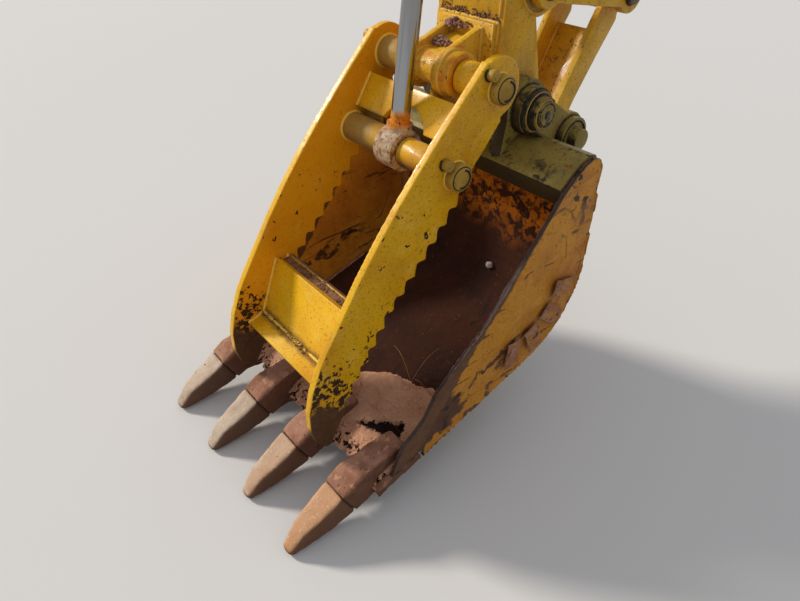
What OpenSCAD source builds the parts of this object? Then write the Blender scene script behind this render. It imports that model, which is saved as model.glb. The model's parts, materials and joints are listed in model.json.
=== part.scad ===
// Dipper arm of a crawler excavator with its digging bucket and hydraulic thumb.
// Millimetres. The shapes are laid out as parked: x runs away from the cab from the
// teeth's tips, y along the pins, z up from the ground. The model's origin is the boom pin.

/* [Arm] */
// Arm length from the boom pin to the bucket pin
stick_length = 2250; // [2100:10:2500]
// Lean of the arm out of the vertical, its top away from the cab
stick_lean = 3.6; // [2:0.1:6]
// Width of the arm's box over its side plates
stick_width = 244; // [220:2:260]
// Thickness of the arm's side plates
side_plate_t = 14; // [8:1:18]
// Thickness of the arm's front and back plates
cover_plate_t = 16; // [10:1:24]
// Radius of the arm's round nose
nose_r = 104; // [96:1:110]
// Distance of the front plate from the arm's axis beside the bucket end
front_offset = 96; // [90:1:110]
// Distance of the front plate from the arm's axis at the boom pin
front_offset_top = 168; // [150:1:200]
// Distance of the back plate from the arm's axis beside the bucket end
back_offset = 32; // [26:1:50]
// Deepest distance of the back plate from the arm's axis
back_offset_top = 200; // [160:1:230]
// Length of arm past the boom pin, up to its end plate
stick_tail = 250; // [220:5:300]

/* [Pins] */
// Height of the bucket pin over the ground
bucket_pin_height = 944; // [930:1:960]
// Distance of the bucket pin behind the teeth's tips
bucket_pin_back = 1020; // [1005:1:1035]
// Diameter of the bucket pin
bucket_pin_d = 70; // [60:1:80]
// Diameter of the link and rocker pins
link_pin_d = 65; // [55:1:70]
// Bore for the boom pin
boom_pin_d = 90; // [80:1:100]
// Bore for the pin of the arm's own cylinder
arm_cylinder_pin_d = 80; // [70:1:90]
// Diameter of the thumb's pins
thumb_pin_d = 60; // [50:1:66]
// Radial running clearance of a pin in its bore
running_clearance = 0.06; // [0.03:0.01:0.1]
// Gap between welded pieces that lie round each other
weld_gap = 0.2; // [0.1:0.05:0.3]
// Side clearance between moving pieces along a pin
side_gap = 6; // [5:0.5:8]

/* [Linkage] */
// Distance from the bucket pin to the rocker pin on the arm
rocker_pin_up = 308; // [295:1:320]
// Direction of the rocker pin from the bucket pin, in degrees over the horizontal
rocker_pin_angle = 80; // [76:0.5:84]
// Length of the rocker between its pins
rocker_length = 390; // [380:1:400]
// Length of the link between its pins
link_length = 436; // [425:1:450]
// Distance between the two pins in the bucket's ears
ear_pin_spacing = 260; // [250:1:275]
// Fall of the line through the ears' pins, in degrees
ear_pin_fall = 32; // [28:0.5:36]
// Thickness of one side plate of the link
link_plate_t = 20; // [14:1:24]
// Distance of the link's side plates from the middle, to their outer faces
link_plate_out = 95; // [90:1:105]
// Distance of the link's web behind its front edges
link_web_depth = 64; // [55:1:68]
// Thickness of a rocker lever
rocker_t = 30; // [20:1:36]

/* [Bucket] */
// Inner half width of the bucket
bucket_half = 393; // [360:1:430]
// Thickness of the bucket's side plates
bucket_side_t = 22; // [14:1:28]
// Thickness of the bucket's floor and back
wrapper_t = 16; // [10:1:22]
// Rise of the bucket's floor from its lip, in degrees
floor_rise = 16; // [14:0.5:18]
// Outer radius of the bucket's heel
heel_r = 300; // [280:1:320]
// Distance of the bucket's back from the teeth's tips
back_x = 1085; // [1075:1:1100]
// Distance of the lip's edge from the teeth's tips
lip_x = 268; // [255:1:280]
// Height of the lip's lower edge over the ground
lip_z = 70; // [62:1:80]
// Thickness of the lip plate
lip_t = 35; // [25:1:45]
// Length of the lip plate from its edge to the floor plate
lip_l = 175; // [160:1:200]
// Thickness of a bucket ear
ear_t = 38; // [28:1:46]
// Radius of the ears' round ends
ear_r = 80; // [72:1:88]

/* [Teeth] */
// Distance of an outer tooth's middle from the bucket's outer side
tooth_inset = 71; // [60:1:80]
// Length of a tooth
tooth_l = 205; // [185:1:220]
// Rise of a tooth from its tip, in degrees
tooth_rise = 24; // [20:0.5:28]
// Width of a tooth at its collar
tooth_w = 86; // [78:1:96]
// Height of a tooth at its collar
tooth_h = 100; // [92:1:112]
// Width of a tooth at its tip
tooth_tip_w = 44; // [38:1:60]

/* [Thumb] */
// Length of the thumb from its pivot to its tips
thumb_length = 1077; // [1040:1:1110]
// Direction of the thumb from its pivot, in degrees under the horizontal
thumb_fall = 56.95; // [55:0.05:59]
// Inner half width between the thumb's plates
thumb_half = 204; // [196:1:210]
// Thickness of a thumb plate
thumb_plate_t = 25; // [18:1:30]
// Number of saw teeth on each thumb plate
saw_count = 13; // [9:1:15]
// Distance from the thumb's pivot to the pin of its cylinder
thumb_lever = 234; // [225:1:245]
// Distance of the thumb's pivot from the bucket pin
thumb_pin_spacing = 229; // [222:1:240]
// Direction of the thumb's pivot from the bucket pin, in degrees
thumb_pin_angle = 150.7; // [147:0.1:154]

/* [Cylinders] */
// Length of the thumb's cylinder between its pins, as parked
thumb_cylinder_length = 1100; // [1080:5:1140]
// Lean of the thumb's cylinder out of the vertical
thumb_cylinder_lean = 7.6; // [7:0.1:8.5]
// Length of the thumb's cylinder barrel from its base pin
thumb_barrel_l = 655; // [620:5:660]
// Diameter of the thumb's cylinder rod
thumb_rod_d = 53; // [46:1:60]
// Diameter of the thumb's cylinder barrel
thumb_barrel_d = 98; // [90:1:104]
// Distance of the bucket cylinder's base pin up the arm from the bucket pin
bucket_cylinder_up = 1941; // [1900:5:1980]
// Distance of the bucket cylinder's base pin from the arm's axis
bucket_cylinder_off = 339; // [330:1:350]
// Length of the bucket cylinder's barrel from its base pin
bucket_barrel_l = 1255; // [1200:5:1270]
// Diameter of the bucket cylinder's rod
bucket_rod_d = 65; // [56:1:70]
// Diameter of the bucket cylinder's barrel
bucket_barrel_d = 124; // [110:1:130]

/* [Hidden] */
$fn = 96;

// Small helpers on points of the side view, [x, z]
function unit(v) = v / norm(v);
function left_of(v) = [-v[1], v[0]];
function toward(deg) = [cos(deg), sin(deg)];
// Third corner of the triangle on a and b with the sides ra and rb, on the left of a to b
function corner(a, b, ra, rb) = let (n = norm(b - a), s = (ra * ra - rb * rb + n * n) / (2 * n))
    a + s * unit(b - a) + sqrt(ra * ra - s * s) * left_of(unit(b - a));
// Four points of a bar that touches the circles ra at a and rb at b
function bar_outline(a, b, ra, rb) = let (d = unit(b - a), s = (ra - rb) / norm(b - a), c = sqrt(1 - s * s))
    [a + ra * (left_of(d) * c + d * s), b + rb * (left_of(d) * c + d * s),
     b + rb * (d * s - left_of(d) * c), a + ra * (d * s - left_of(d) * c)];

// Pin places in the side view
bucket_pin = [bucket_pin_back, bucket_pin_height];
arm_dir = toward(90 - stick_lean);
arm_out = [arm_dir[1], -arm_dir[0]];
// A place by its distance up the arm and out from the arm's axis
function on_arm(up, out) = bucket_pin + up * arm_dir + out * arm_out;
boom_pin = on_arm(stick_length, 0);
ear_link_pin = bucket_pin + ear_pin_spacing * toward(-ear_pin_fall);
rocker_pin = bucket_pin + rocker_pin_up * toward(rocker_pin_angle);
link_pin = corner(rocker_pin, ear_link_pin, rocker_length, link_length);
bucket_cylinder_pin = on_arm(bucket_cylinder_up, bucket_cylinder_off);
arm_cylinder_pin = on_arm(stick_length + 550, 120);
thumb_pin = bucket_pin + thumb_pin_spacing * toward(thumb_pin_angle);
thumb_dir = toward(180 + thumb_fall);
thumb_back = -left_of(thumb_dir);
// A place by its distance down the thumb from its pivot and out towards its back edge
function on_thumb(down, out) = thumb_pin + down * thumb_dir + out * thumb_back;
thumb_rod_pin = thumb_pin + thumb_lever * unit(thumb_dir + 0.045 * thumb_back);
thumb_base_pin = thumb_rod_pin + thumb_cylinder_length * toward(90 - thumb_cylinder_lean);

module parked() translate([-boom_pin[0], 0, -boom_pin[1]]) children();
module both() { children(); mirror([0, 1, 0]) children(); }
// A round bar along y
module bar(p, r, y0, y1) translate([p[0], y0, p[1]]) rotate([-90, 0, 0]) cylinder(r = r, h = y1 - y0);
// A plate with a side outline, from y0 to y1
module plate(pts, y0, y1) translate([0, y1, 0]) rotate([90, 0, 0]) linear_extrude(y1 - y0) polygon(pts);
// A round bar along a line of the side view, from d0 to d1 away from a towards b
module shaft(a, b, r, d0, d1) translate([a[0], 0, a[1]])
    rotate([0, atan2(b[0] - a[0], b[1] - a[1]), 0]) translate([0, 0, d0]) cylinder(r = r, h = d1 - d0);

// Arm
stick_half = stick_width / 2;
box_half = stick_half - side_plate_t;
neck_up = 225;
back_top_up = 1700;
rocker_boss_r = 72;
nose_boss_r = 82;
boom_boss_r = 92;
boom_boss_half = stick_half + 26;
tail_up = stick_length + stick_tail;
front_slope = (front_offset_top - front_offset) / (stick_length - neck_up);
function front_at(up) = -front_offset - (up - neck_up) * front_slope;
back_slope = (back_offset_top - back_offset) / (back_top_up - neck_up);
function back_at(up) = back_offset + (up - neck_up) * back_slope;
front_line = [on_arm(10, -nose_r), on_arm(neck_up, -front_offset), on_arm(stick_length, -front_offset_top),
    on_arm(tail_up - 60, -front_offset_top + 24)];
stick_outline = concat(front_line, [on_arm(tail_up, -front_offset_top + 60), on_arm(tail_up, back_offset_top - 60),
    on_arm(tail_up - 120, back_offset_top - 10), on_arm(back_top_up, back_offset_top),
    on_arm(neck_up, back_offset), on_arm(20, nose_r - 2)]);

module stick_side(y0, y1) difference() {
    union() {
        plate(stick_outline, y0, y1);
        bar(bucket_pin, nose_r, y0, y1);
        bar(rocker_pin, rocker_boss_r + 10, y0, y1);
    }
    bar(bucket_pin, nose_boss_r + weld_gap, y0 - 1, y1 + 1);
    bar(rocker_pin, rocker_boss_r + weld_gap, y0 - 1, y1 + 1);
    bar(boom_pin, boom_boss_r + weld_gap, y0 - 1, y1 + 1);
}
module stick_side_near() color("gold") parked() stick_side(-stick_half, -box_half);
module stick_side_far() color("gold") parked() stick_side(box_half, stick_half);
module stick_front_plate() color("gold") parked()
    plate([on_arm(95, front_at(95)), on_arm(neck_up, -front_offset), on_arm(stick_length, -front_offset_top),
        on_arm(tail_up - cover_plate_t, -front_offset_top + 30),
        on_arm(tail_up - cover_plate_t, -front_offset_top + 30 + cover_plate_t),
        on_arm(stick_length, -front_offset_top + cover_plate_t), on_arm(neck_up, -front_offset + cover_plate_t),
        on_arm(95, front_at(95) + cover_plate_t)], -box_half, box_half);
back_start_up = rocker_pin_up + rocker_boss_r + 12;
module stick_back_plate() color("gold") parked()
    plate([on_arm(back_start_up, back_at(back_start_up)), on_arm(back_top_up, back_offset_top),
        on_arm(tail_up - 120, back_offset_top - 10), on_arm(tail_up - cover_plate_t, back_offset_top - 55),
        on_arm(tail_up - cover_plate_t, back_offset_top - 72), on_arm(tail_up - 124, back_offset_top - 27),
        on_arm(back_top_up, back_offset_top - cover_plate_t),
        on_arm(back_start_up, back_at(back_start_up) - cover_plate_t)], -box_half, box_half);
module stick_end_plate() color("gold") parked()
    plate([on_arm(tail_up - cover_plate_t + 1, -front_offset_top + 44), on_arm(tail_up, -front_offset_top + 60),
        on_arm(tail_up, back_offset_top - 60), on_arm(tail_up - cover_plate_t + 1, back_offset_top - 56)],
        -box_half, box_half);
module tube(p, r, bore_r, half) difference() {
    bar(p, r, -half, half);
    bar(p, bore_r, -half - 1, half + 1);
}
module boom_boss() color("goldenrod") parked() tube(boom_pin, boom_boss_r, boom_pin_d / 2, boom_boss_half);
module nose_boss() color("goldenrod") parked()
    tube(bucket_pin, nose_boss_r, bucket_pin_d / 2 + running_clearance, stick_half);
module rocker_boss() color("goldenrod") parked()
    tube(rocker_pin, rocker_boss_r, link_pin_d / 2 + running_clearance, stick_half);

// Brackets on the arm
arm_ear_gap = 56;
arm_ear_t = 40;
arm_ear_r = 82;
module arm_cylinder_ears() color("gold") parked() both() difference() {
    union() {
        bar(arm_cylinder_pin, arm_ear_r, arm_ear_gap, arm_ear_gap + arm_ear_t);
        plate([on_arm(tail_up + weld_gap, -60), arm_cylinder_pin + arm_ear_r * toward(152 - stick_lean),
            arm_cylinder_pin + arm_ear_r * toward(-4 - stick_lean), on_arm(tail_up + weld_gap, back_offset_top - 65)],
            arm_ear_gap, arm_ear_gap + arm_ear_t);
    }
    bar(arm_cylinder_pin, arm_cylinder_pin_d / 2, arm_ear_gap - 1, arm_ear_gap + arm_ear_t + 1);
}
cylinder_ear_gap = 56;
cylinder_ear_t = 30;
bucket_base_r = 62;
back_fall = 10 / (tail_up - 120 - back_top_up);
back_face = function (up) on_arm(up, back_offset_top + weld_gap - (up - back_top_up) * back_fall);
module bucket_cylinder_ears() color("gold") parked() both() difference() {
    union() {
        bar(bucket_cylinder_pin, bucket_base_r, cylinder_ear_gap, cylinder_ear_gap + cylinder_ear_t);
        plate([back_face(bucket_cylinder_up - 130), back_face(bucket_cylinder_up + 170),
            bucket_cylinder_pin + bucket_base_r * toward(45), bucket_cylinder_pin + bucket_base_r * toward(-55)],
            cylinder_ear_gap, cylinder_ear_gap + cylinder_ear_t);
    }
    bar(bucket_cylinder_pin, link_pin_d / 2 + weld_gap, cylinder_ear_gap - 1, cylinder_ear_gap + cylinder_ear_t + 1);
}
thumb_ear_gap = 38;
thumb_ear_t = 24;
thumb_base_up = 998;
thumb_base_r = 48;
base_plate_t = 18;
// A place over the arm's front plate, by its distance up the arm and off the plate
function on_front(up, off) = on_arm(up, front_at(up) - off);
module thumb_cylinder_ears() color("gold") parked() {
    both() difference() {
        union() {
            bar(thumb_base_pin, thumb_base_r, thumb_ear_gap, thumb_ear_gap + thumb_ear_t);
            plate([on_front(thumb_base_up - 120, base_plate_t - 2), thumb_base_pin + thumb_base_r * toward(215),
                thumb_base_pin + thumb_base_r * toward(100), on_front(thumb_base_up + 150, base_plate_t - 2)],
                thumb_ear_gap, thumb_ear_gap + thumb_ear_t);
        }
        bar(thumb_base_pin, thumb_pin_d / 2 + weld_gap, thumb_ear_gap - 1, thumb_ear_gap + thumb_ear_t + 1);
    }
    plate([on_front(thumb_base_up - 150, 0), on_front(thumb_base_up - 150, base_plate_t),
        on_front(thumb_base_up + 180, base_plate_t), on_front(thumb_base_up + 180, 0)], -box_half + 6, box_half - 6);
}
// Weld-on bracket that carries the thumb on the arm's nose
bracket_ear_in = 46;
bracket_ear_t = 20;
bracket_r = 63;
bracket_hub_r = 58;
bracket_hub_out = 104;
bracket_tube_r = 44;
bracket_base_t = 20;
bracket_top_up = 216;
bracket_web_up = 178;
module thumb_bracket() color("gold") parked() difference() {
    union() {
        both() {
            bar(thumb_pin, bracket_r, bracket_ear_in, bracket_ear_in + bracket_ear_t);
            bar(thumb_pin, bracket_hub_r, bracket_ear_in, bracket_hub_out);
            plate([on_front(100, bracket_base_t - 2), thumb_pin + bracket_r * toward(-60),
                thumb_pin + bracket_r * toward(126), on_front(bracket_top_up - 12, bracket_base_t - 2)],
                bracket_ear_in, bracket_ear_in + bracket_ear_t);
        }
        bar(thumb_pin, bracket_tube_r, -bracket_ear_in - 1, bracket_ear_in + 1);
        plate([on_front(bracket_web_up, bracket_base_t - 2), thumb_pin + (bracket_tube_r - 3) * toward(80),
            thumb_pin + (bracket_tube_r - 3) * toward(50), on_front(bracket_web_up - 16, bracket_base_t - 2)],
            -bracket_ear_in - 1, bracket_ear_in + 1);
        plate([on_front(96, 0), on_front(96, bracket_base_t), on_front(bracket_top_up, bracket_base_t),
            on_front(bracket_top_up, 0)], -box_half + 2, box_half - 2);
    }
    bar(thumb_pin, thumb_pin_d / 2 + running_clearance, -bracket_hub_out - 1, bracket_hub_out + 1);
}
module base_pins() color("dimgray") parked() {
    bar(bucket_cylinder_pin, link_pin_d / 2, -cylinder_ear_gap - cylinder_ear_t - 12,
        cylinder_ear_gap + cylinder_ear_t + 12);
    bar(thumb_base_pin, thumb_pin_d / 2, -thumb_ear_gap - thumb_ear_t - 12, thumb_ear_gap + thumb_ear_t + 12);
}

// Bucket
floor_dir = toward(floor_rise);
floor_up = left_of(floor_dir);
lip_edge = [lip_x, lip_z];
// A place by its distance along the floor from the lip's edge and up from the floor's underside
function on_floor(along, up) = lip_edge + along * floor_dir + up * floor_up;
heel_up = (heel_r + (back_x - heel_r - lip_x) * sin(floor_rise)) / cos(floor_rise);
heel = [back_x - heel_r, lip_z + heel_up];
heel_start = heel - heel_r * floor_up;
back_top = [back_x - 12, 842];
mouth_top = [912, 812];
crest = [[1052, 872], [1020, 880], [985, 868], [950, 845]];
cheek = [on_floor(475, 296), on_floor(405, 268), on_floor(345, 243), on_floor(280, 214), on_floor(220, 156),
    on_floor(184, 138), on_floor(134, 124), on_floor(106, 98), on_floor(76, 62), on_floor(58, lip_t)];
bucket_side_y = bucket_half + bucket_side_t;
heel_quarter = [heel, heel + 2 * heel_r * toward(-90 + floor_rise), heel + 3 * heel_r * toward(-45),
    heel + 2 * heel_r * toward(0)];
side_outline = concat(cheek, [on_floor(lip_l, lip_t), on_floor(lip_l, 0), heel_start, heel, [back_x, heel[1]],
    back_top], crest, [mouth_top]);
module bucket_side(y0, y1) difference() {
    union() {
        plate(side_outline, y0, y1);
        intersection() {
            bar(heel, heel_r, y0, y1);
            plate(heel_quarter, y0, y1);
        }
    }
}
module bucket_side_near() color("goldenrod") parked() bucket_side(-bucket_side_y, -bucket_half);
module bucket_side_far() color("goldenrod") parked() bucket_side(bucket_half, bucket_side_y);
box_front_low = [945, 748];
box_back_low = [back_x - wrapper_t, 730];
pin_boss_r = 66;
seal_w = 14;
module bucket_wrapper() color("saddlebrown") parked() {
    plate([on_floor(lip_l, 0), heel_start, heel_start + wrapper_t * floor_up, on_floor(lip_l, wrapper_t)],
        -bucket_half, bucket_half);
    difference() {
        intersection() {
            bar(heel, heel_r, -bucket_half, bucket_half);
            plate(heel_quarter, -bucket_half, bucket_half);
        }
        bar(heel, heel_r - wrapper_t, -bucket_half - 1, bucket_half + 1);
    }
    plate([[back_x - wrapper_t, heel[1]], [back_x, heel[1]], [back_x, box_back_low[1]], box_back_low],
        -bucket_half, bucket_half);
}
scoop_r = nose_r + 14;
ear_in = stick_half + side_gap;
ear_out = ear_in + ear_t;
module bucket_top_box() color("olivedrab") parked() difference() {
    plate(concat([mouth_top, box_front_low, box_back_low, [back_x, box_back_low[1]], back_top], crest),
        -bucket_half, bucket_half);
    bar(bucket_pin, scoop_r, -ear_in, ear_in);
    bar(bucket_pin, pin_boss_r + 4, -boss_y - seal_w, boss_y + seal_w);
    both() ear_body(ear_in - weld_gap, ear_out + weld_gap);
}
ear_foot_z = 791;
ear_back_x = back_x + weld_gap;
module ear_body(y0, y1) {
    bar(bucket_pin, ear_r, y0, y1);
    bar(ear_link_pin, ear_r - 8, y0, y1);
    plate(bar_outline(bucket_pin, ear_link_pin, ear_r - 20, ear_r - 26), y0, y1);
    plate([bucket_pin + ear_r * toward(150), [926, 822], [940, ear_foot_z], [ear_back_x, ear_foot_z],
        [ear_back_x, 600], [back_x + 30, 600], ear_link_pin + (ear_r - 8) * toward(-50), bucket_pin], y0, y1);
}
module bucket_ear(y0, y1) difference() {
    ear_body(y0, y1);
    bar(bucket_pin, bucket_pin_d / 2 + weld_gap, y0 - 1, y1 + 1);
    bar(ear_link_pin, link_pin_d / 2 + weld_gap, y0 - 1, y1 + 1);
}
module bucket_ear_near() color("olivedrab") parked() bucket_ear(-ear_out, -ear_in);
module bucket_ear_far() color("olivedrab") parked() bucket_ear(ear_in, ear_out);
boss_y = ear_out + 30;
pin_end_y = 240;
module bucket_pins() color("darkolivegreen") parked() {
    bar(bucket_pin, bucket_pin_d / 2, -pin_end_y, pin_end_y);
    both() {
        difference() {
            bar(bucket_pin, pin_boss_r, ear_out, boss_y);
            bar(bucket_pin, bucket_pin_d / 2 + weld_gap, ear_out - 1, boss_y + 1);
        }
        difference() {
            bar(bucket_pin, 46, boss_y + seal_w, pin_end_y - 8);
            bar(bucket_pin, bucket_pin_d / 2 + weld_gap, boss_y, pin_end_y);
        }
        difference() {
            bar(ear_link_pin, 62, ear_out, boss_y - 6);
            bar(ear_link_pin, 50, boss_y - 7, boss_y + 12);
            bar(ear_link_pin, link_pin_d / 2 + weld_gap, ear_out - 1, boss_y + 13);
        }
        bar(ear_link_pin, link_pin_d / 2, ear_in + 1, boss_y + 24);
    }
}
module seal(p, r, bore_r, y0, y1) difference() {
    bar(p, r, y0, y1);
    bar(p, bore_r, y0 - 1, y1 + 1);
}
module dust_seals() color("black") parked() both() {
    seal(bucket_pin, 78, bucket_pin_d / 2 + 1, stick_half + 0.6, ear_in - 0.3);
    seal(bucket_pin, 60, bucket_pin_d / 2 + weld_gap, boss_y + 0.3, boss_y + seal_w - 0.3);
}
// Lip, its edge worn hollow between the teeth
tooth_pitch = (bucket_side_y - tooth_inset) * 2 / 3;
tooth_y = [for (i = [0:3]) (i - 1.5) * tooth_pitch];
hollow_r = 150;
hollow_depth = 34;
module bucket_lip() color("rosybrown") parked() difference() {
    translate([lip_edge[0], 0, lip_edge[1]]) rotate([0, -floor_rise, 0])
        translate([0, -bucket_side_y, 0]) cube([lip_l, 2 * bucket_side_y, lip_t]);
    translate([lip_edge[0], 0, lip_edge[1]]) rotate([0, -floor_rise, 0])
        for (i = [0:2]) translate([hollow_depth - hollow_r, (tooth_y[i] + tooth_y[i + 1]) / 2, -1])
            cylinder(r = hollow_r, h = lip_t + 2);
}
tip_lift = 8;
module at_tooth(i) translate([0, tooth_y[i], tip_lift]) rotate([0, -tooth_rise, 0]) children();
module tooth(i) color("tan") parked() at_tooth(i) intersection() {
    plate([[0, 9], [70, 40], [tooth_l - 40, tooth_h / 2 - 5], [tooth_l, tooth_h / 2], [tooth_l, -tooth_h / 2],
        [90, -33], [0, -8]], -tooth_w, tooth_w);
    linear_extrude(2 * tooth_h, center = true) polygon([[0, -tooth_tip_w / 2 + 8], [8, -tooth_tip_w / 2],
        [130, -tooth_w / 2 + 5], [tooth_l, -tooth_w / 2], [tooth_l, tooth_w / 2], [130, tooth_w / 2 - 5],
        [8, tooth_tip_w / 2], [0, tooth_tip_w / 2 - 8]]);
}
adapter_w = tooth_w - 16;
module tooth_adapters() color("rosybrown") parked() for (i = [0:3]) difference() {
    at_tooth(i) plate([[tooth_l + weld_gap, tooth_h / 2 - 9], [tooth_l + 60, tooth_h / 2 + 2], [tooth_l + 150, tooth_h / 2 - 14],
        [tooth_l + 225, -4], [tooth_l + 225, -50], [tooth_l + 190, -110], [tooth_l + 140, -116],
        [tooth_l + 30, -tooth_h / 2 - 4], [tooth_l + weld_gap, -tooth_h / 2 + 7]], -adapter_w / 2, adapter_w / 2);
    translate([lip_edge[0], 0, lip_edge[1]]) rotate([0, -floor_rise, 0])
        translate([-weld_gap, -bucket_side_y, -weld_gap]) cube([2 * lip_l, 2 * bucket_side_y, lip_t + 2 * weld_gap]);
}
// Wear pieces on the heel's corners and under the floor
shroud_t = 13;
shroud_l = 106;
shroud_w = 66;
shroud_at = [for (i = [0:3]) -14 - i * 26];
module heel_shrouds() color("goldenrod") parked() both() for (a = shroud_at)
    translate([heel[0], bucket_side_y, heel[1]]) rotate([0, -a, 0])
        translate([heel_r - 44 - shroud_l, 0, -shroud_w / 2]) cube([shroud_l, shroud_t, shroud_w]);
module wear_strips() color("saddlebrown") parked() for (y = [-300, -100, 100, 300])
    plate([on_floor(lip_l + 30, -14), on_floor(lip_l + 420, -14), on_floor(lip_l + 420, 0), on_floor(lip_l + 30, 0)],
        y - 35, y + 35);

// Thumb
thumb_out = thumb_half + thumb_plate_t;
saw_start = 215;
saw_end = 915;
saw_depth = 22;
saw_pitch = (saw_end - saw_start) / saw_count;
// The front edge as an offset from the thumb's line, in the middle of the saw teeth's depth
function front_edge(s) = -59 + 72 * pow(min(1, max(0, (s - 120) / 520)), 1.5);
// One saw tooth, by shares of the pitch and of the depth
saw_shape = [[0, 0.45], [0.3, 0], [0.58, -0.48], [0.66, -0.55], [0.74, -0.45], [0.94, 0.38]];
function saw(i) = [for (q = saw_shape) let (s = saw_start + (i + q[0]) * saw_pitch)
    on_thumb(s, front_edge(s) + q[1] * saw_depth)];
back_edge = [for (k = [0:8]) let (s = -36 + k * 101)
    on_thumb(s, 76 + 90 * sin(min(90, (s + 36) * 0.135)) + s * 0.004)];
tip_l = 305;
tip_arc = [for (k = [0:5]) let (a = 8 + k * 15.5)
    on_thumb(thumb_length - tip_l + tip_l * sin(a), -2 + 171 * cos(a))];
thumb_outline = concat(back_edge, tip_arc, [on_thumb(thumb_length, 8), on_thumb(thumb_length - 8, -6),
    on_thumb(thumb_length - 68, -4), on_thumb(saw_end + 36, 2), on_thumb(saw_end + 8, 16)],
    [for (i = [saw_count - 1:-1:0], k = [5:-1:0]) saw(i)[k]], [on_thumb(143, -56), on_thumb(60, -66)]);
hub_r = 78;
module thumb_plate(y0, y1) difference() {
    union() {
        plate(thumb_outline, y0, y1);
        bar(thumb_pin, hub_r, y0, y1);
    }
    bar(thumb_pin, thumb_pin_d / 2 + weld_gap, y0 - 1, y1 + 1);
    bar(thumb_rod_pin, thumb_pin_d / 2 + weld_gap, y0 - 1, y1 + 1);
}
module thumb_plate_near() color("gold") parked() thumb_plate(-thumb_out, -thumb_half);
module thumb_plate_far() color("gold") parked() thumb_plate(thumb_half, thumb_out);
pivot_tube_in = bracket_hub_out + side_gap - 1;
rod_eye_half = 36;
rod_tube_in = rod_eye_half + side_gap;
thumb_tube_r = 42;
module thumb_tubes() color("gold") parked() both() {
    difference() {
        bar(thumb_pin, thumb_tube_r + 2, pivot_tube_in, thumb_half);
        bar(thumb_pin, thumb_pin_d / 2 + weld_gap, pivot_tube_in - 1, thumb_half + 1);
    }
    difference() {
        bar(thumb_rod_pin, thumb_tube_r, rod_tube_in, thumb_half);
        bar(thumb_rod_pin, thumb_pin_d / 2 + weld_gap, rod_tube_in - 1, thumb_half + 1);
    }
}
// Cross plate, notched where the rod's eye stands
cross_notch_r = 92;
cross_front = 8;
cross_back = 28;
module thumb_cross_plate() color("gold") parked() difference() {
    plate([on_thumb(74, cross_back), on_thumb(74, cross_front), on_thumb(176, cross_front),
        on_thumb(176, cross_back)], -thumb_half, thumb_half);
    shaft(on_thumb(120 + cross_notch_r, 0), on_thumb(120 + cross_notch_r, 40), cross_notch_r, 0, 40);
}
module thumb_gussets() color("gold") parked() both()
    translate([thumb_rod_pin[0], 0, thumb_rod_pin[1]]) rotate([0, 180 - thumb_fall, 0])
        translate([0, 0, 20]) linear_extrude(14)
            polygon([[-thumb_tube_r - 2, thumb_half], [-thumb_tube_r - 2, thumb_half - 80], [-thumb_tube_r - 120, thumb_half]]);
// Cross box: a web and a back plate with a pocket between, and a flange that makes a gutter
web_top = [686, 89];
web_foot = [870, 53];
flange_end = [915, 91];
box_back_top = [666, 50];
box_back_foot = [800, 38];
web_t = 24;
flange_t = 14;
closing_t = 12;
function across_thumb(v) = [for (q = v) on_thumb(q[0], q[1])];
flange_in = flange_t * unit([flange_end[1] - web_foot[1], web_foot[0] - flange_end[0]]);
module thumb_cross_box() color("gold") parked() {
    plate(across_thumb([web_top, web_foot, web_foot + flange_in, web_foot - [0, web_t], web_top - [0, web_t]]),
        -thumb_half, thumb_half);
    plate(across_thumb([web_foot, flange_end, flange_end + flange_in, web_foot + flange_in]),
        -thumb_half, thumb_half);
    plate(across_thumb([box_back_top, box_back_foot, box_back_foot - [0, web_t], box_back_top - [0, web_t]]),
        -thumb_half, thumb_half);
    plate(across_thumb([box_back_foot + [0, 8], box_back_foot + [closing_t, 8], box_back_foot + [closing_t, -web_t],
        box_back_foot - [0, web_t]]), -thumb_half, thumb_half);
}
pin_bolt = 58 * toward(132);
pin_bolt_r = 15;
pin_boss_h = 26;
module thumb_pins() color("goldenrod") parked() {
    bar(thumb_pin, thumb_pin_d / 2, -thumb_out - 30, thumb_out + 30);
    both() {
        bar(thumb_rod_pin, thumb_pin_d / 2, rod_tube_in, thumb_out + 30);
        for (p = [thumb_pin, thumb_rod_pin]) {
            seal(p, 37, thumb_pin_d / 2 + weld_gap, thumb_out, thumb_out + pin_boss_h);
            bar(p + pin_bolt, pin_bolt_r, thumb_out, thumb_out + pin_boss_h - 3);
        }
    }
}

// Rocker, link and the bucket's cylinder
rocker_in = stick_half + side_gap;
rocker_eye_r = 58;
link_half = stick_half;
module rocker(y0, y1) difference() {
    union() {
        bar(rocker_pin, rocker_eye_r, y0, y1);
        bar(link_pin, rocker_eye_r, y0, y1);
        plate(bar_outline(rocker_pin, link_pin, rocker_eye_r - 16, rocker_eye_r - 16), y0, y1);
    }
    bar(rocker_pin, link_pin_d / 2 + weld_gap, y0 - 1, y1 + 1);
    bar(link_pin, link_pin_d / 2 + weld_gap, y0 - 1, y1 + 1);
}
module rocker_near() color("gold") parked() rocker(-rocker_in - rocker_t, -rocker_in);
module rocker_far() color("gold") parked() rocker(rocker_in, rocker_in + rocker_t);
link_eye_in = 58;
rocker_pin_end = rocker_in + rocker_t + 14;
module rocker_pins() color("dimgray") parked() {
    bar(rocker_pin, link_pin_d / 2, -rocker_pin_end, rocker_pin_end);
    both() bar(link_pin, link_pin_d / 2, link_eye_in + 1, rocker_pin_end);
}
link_eye_r = 52;
link_foot_r = 58;
link_dir = unit(ear_link_pin - link_pin);
link_front = -left_of(link_dir);
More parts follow.
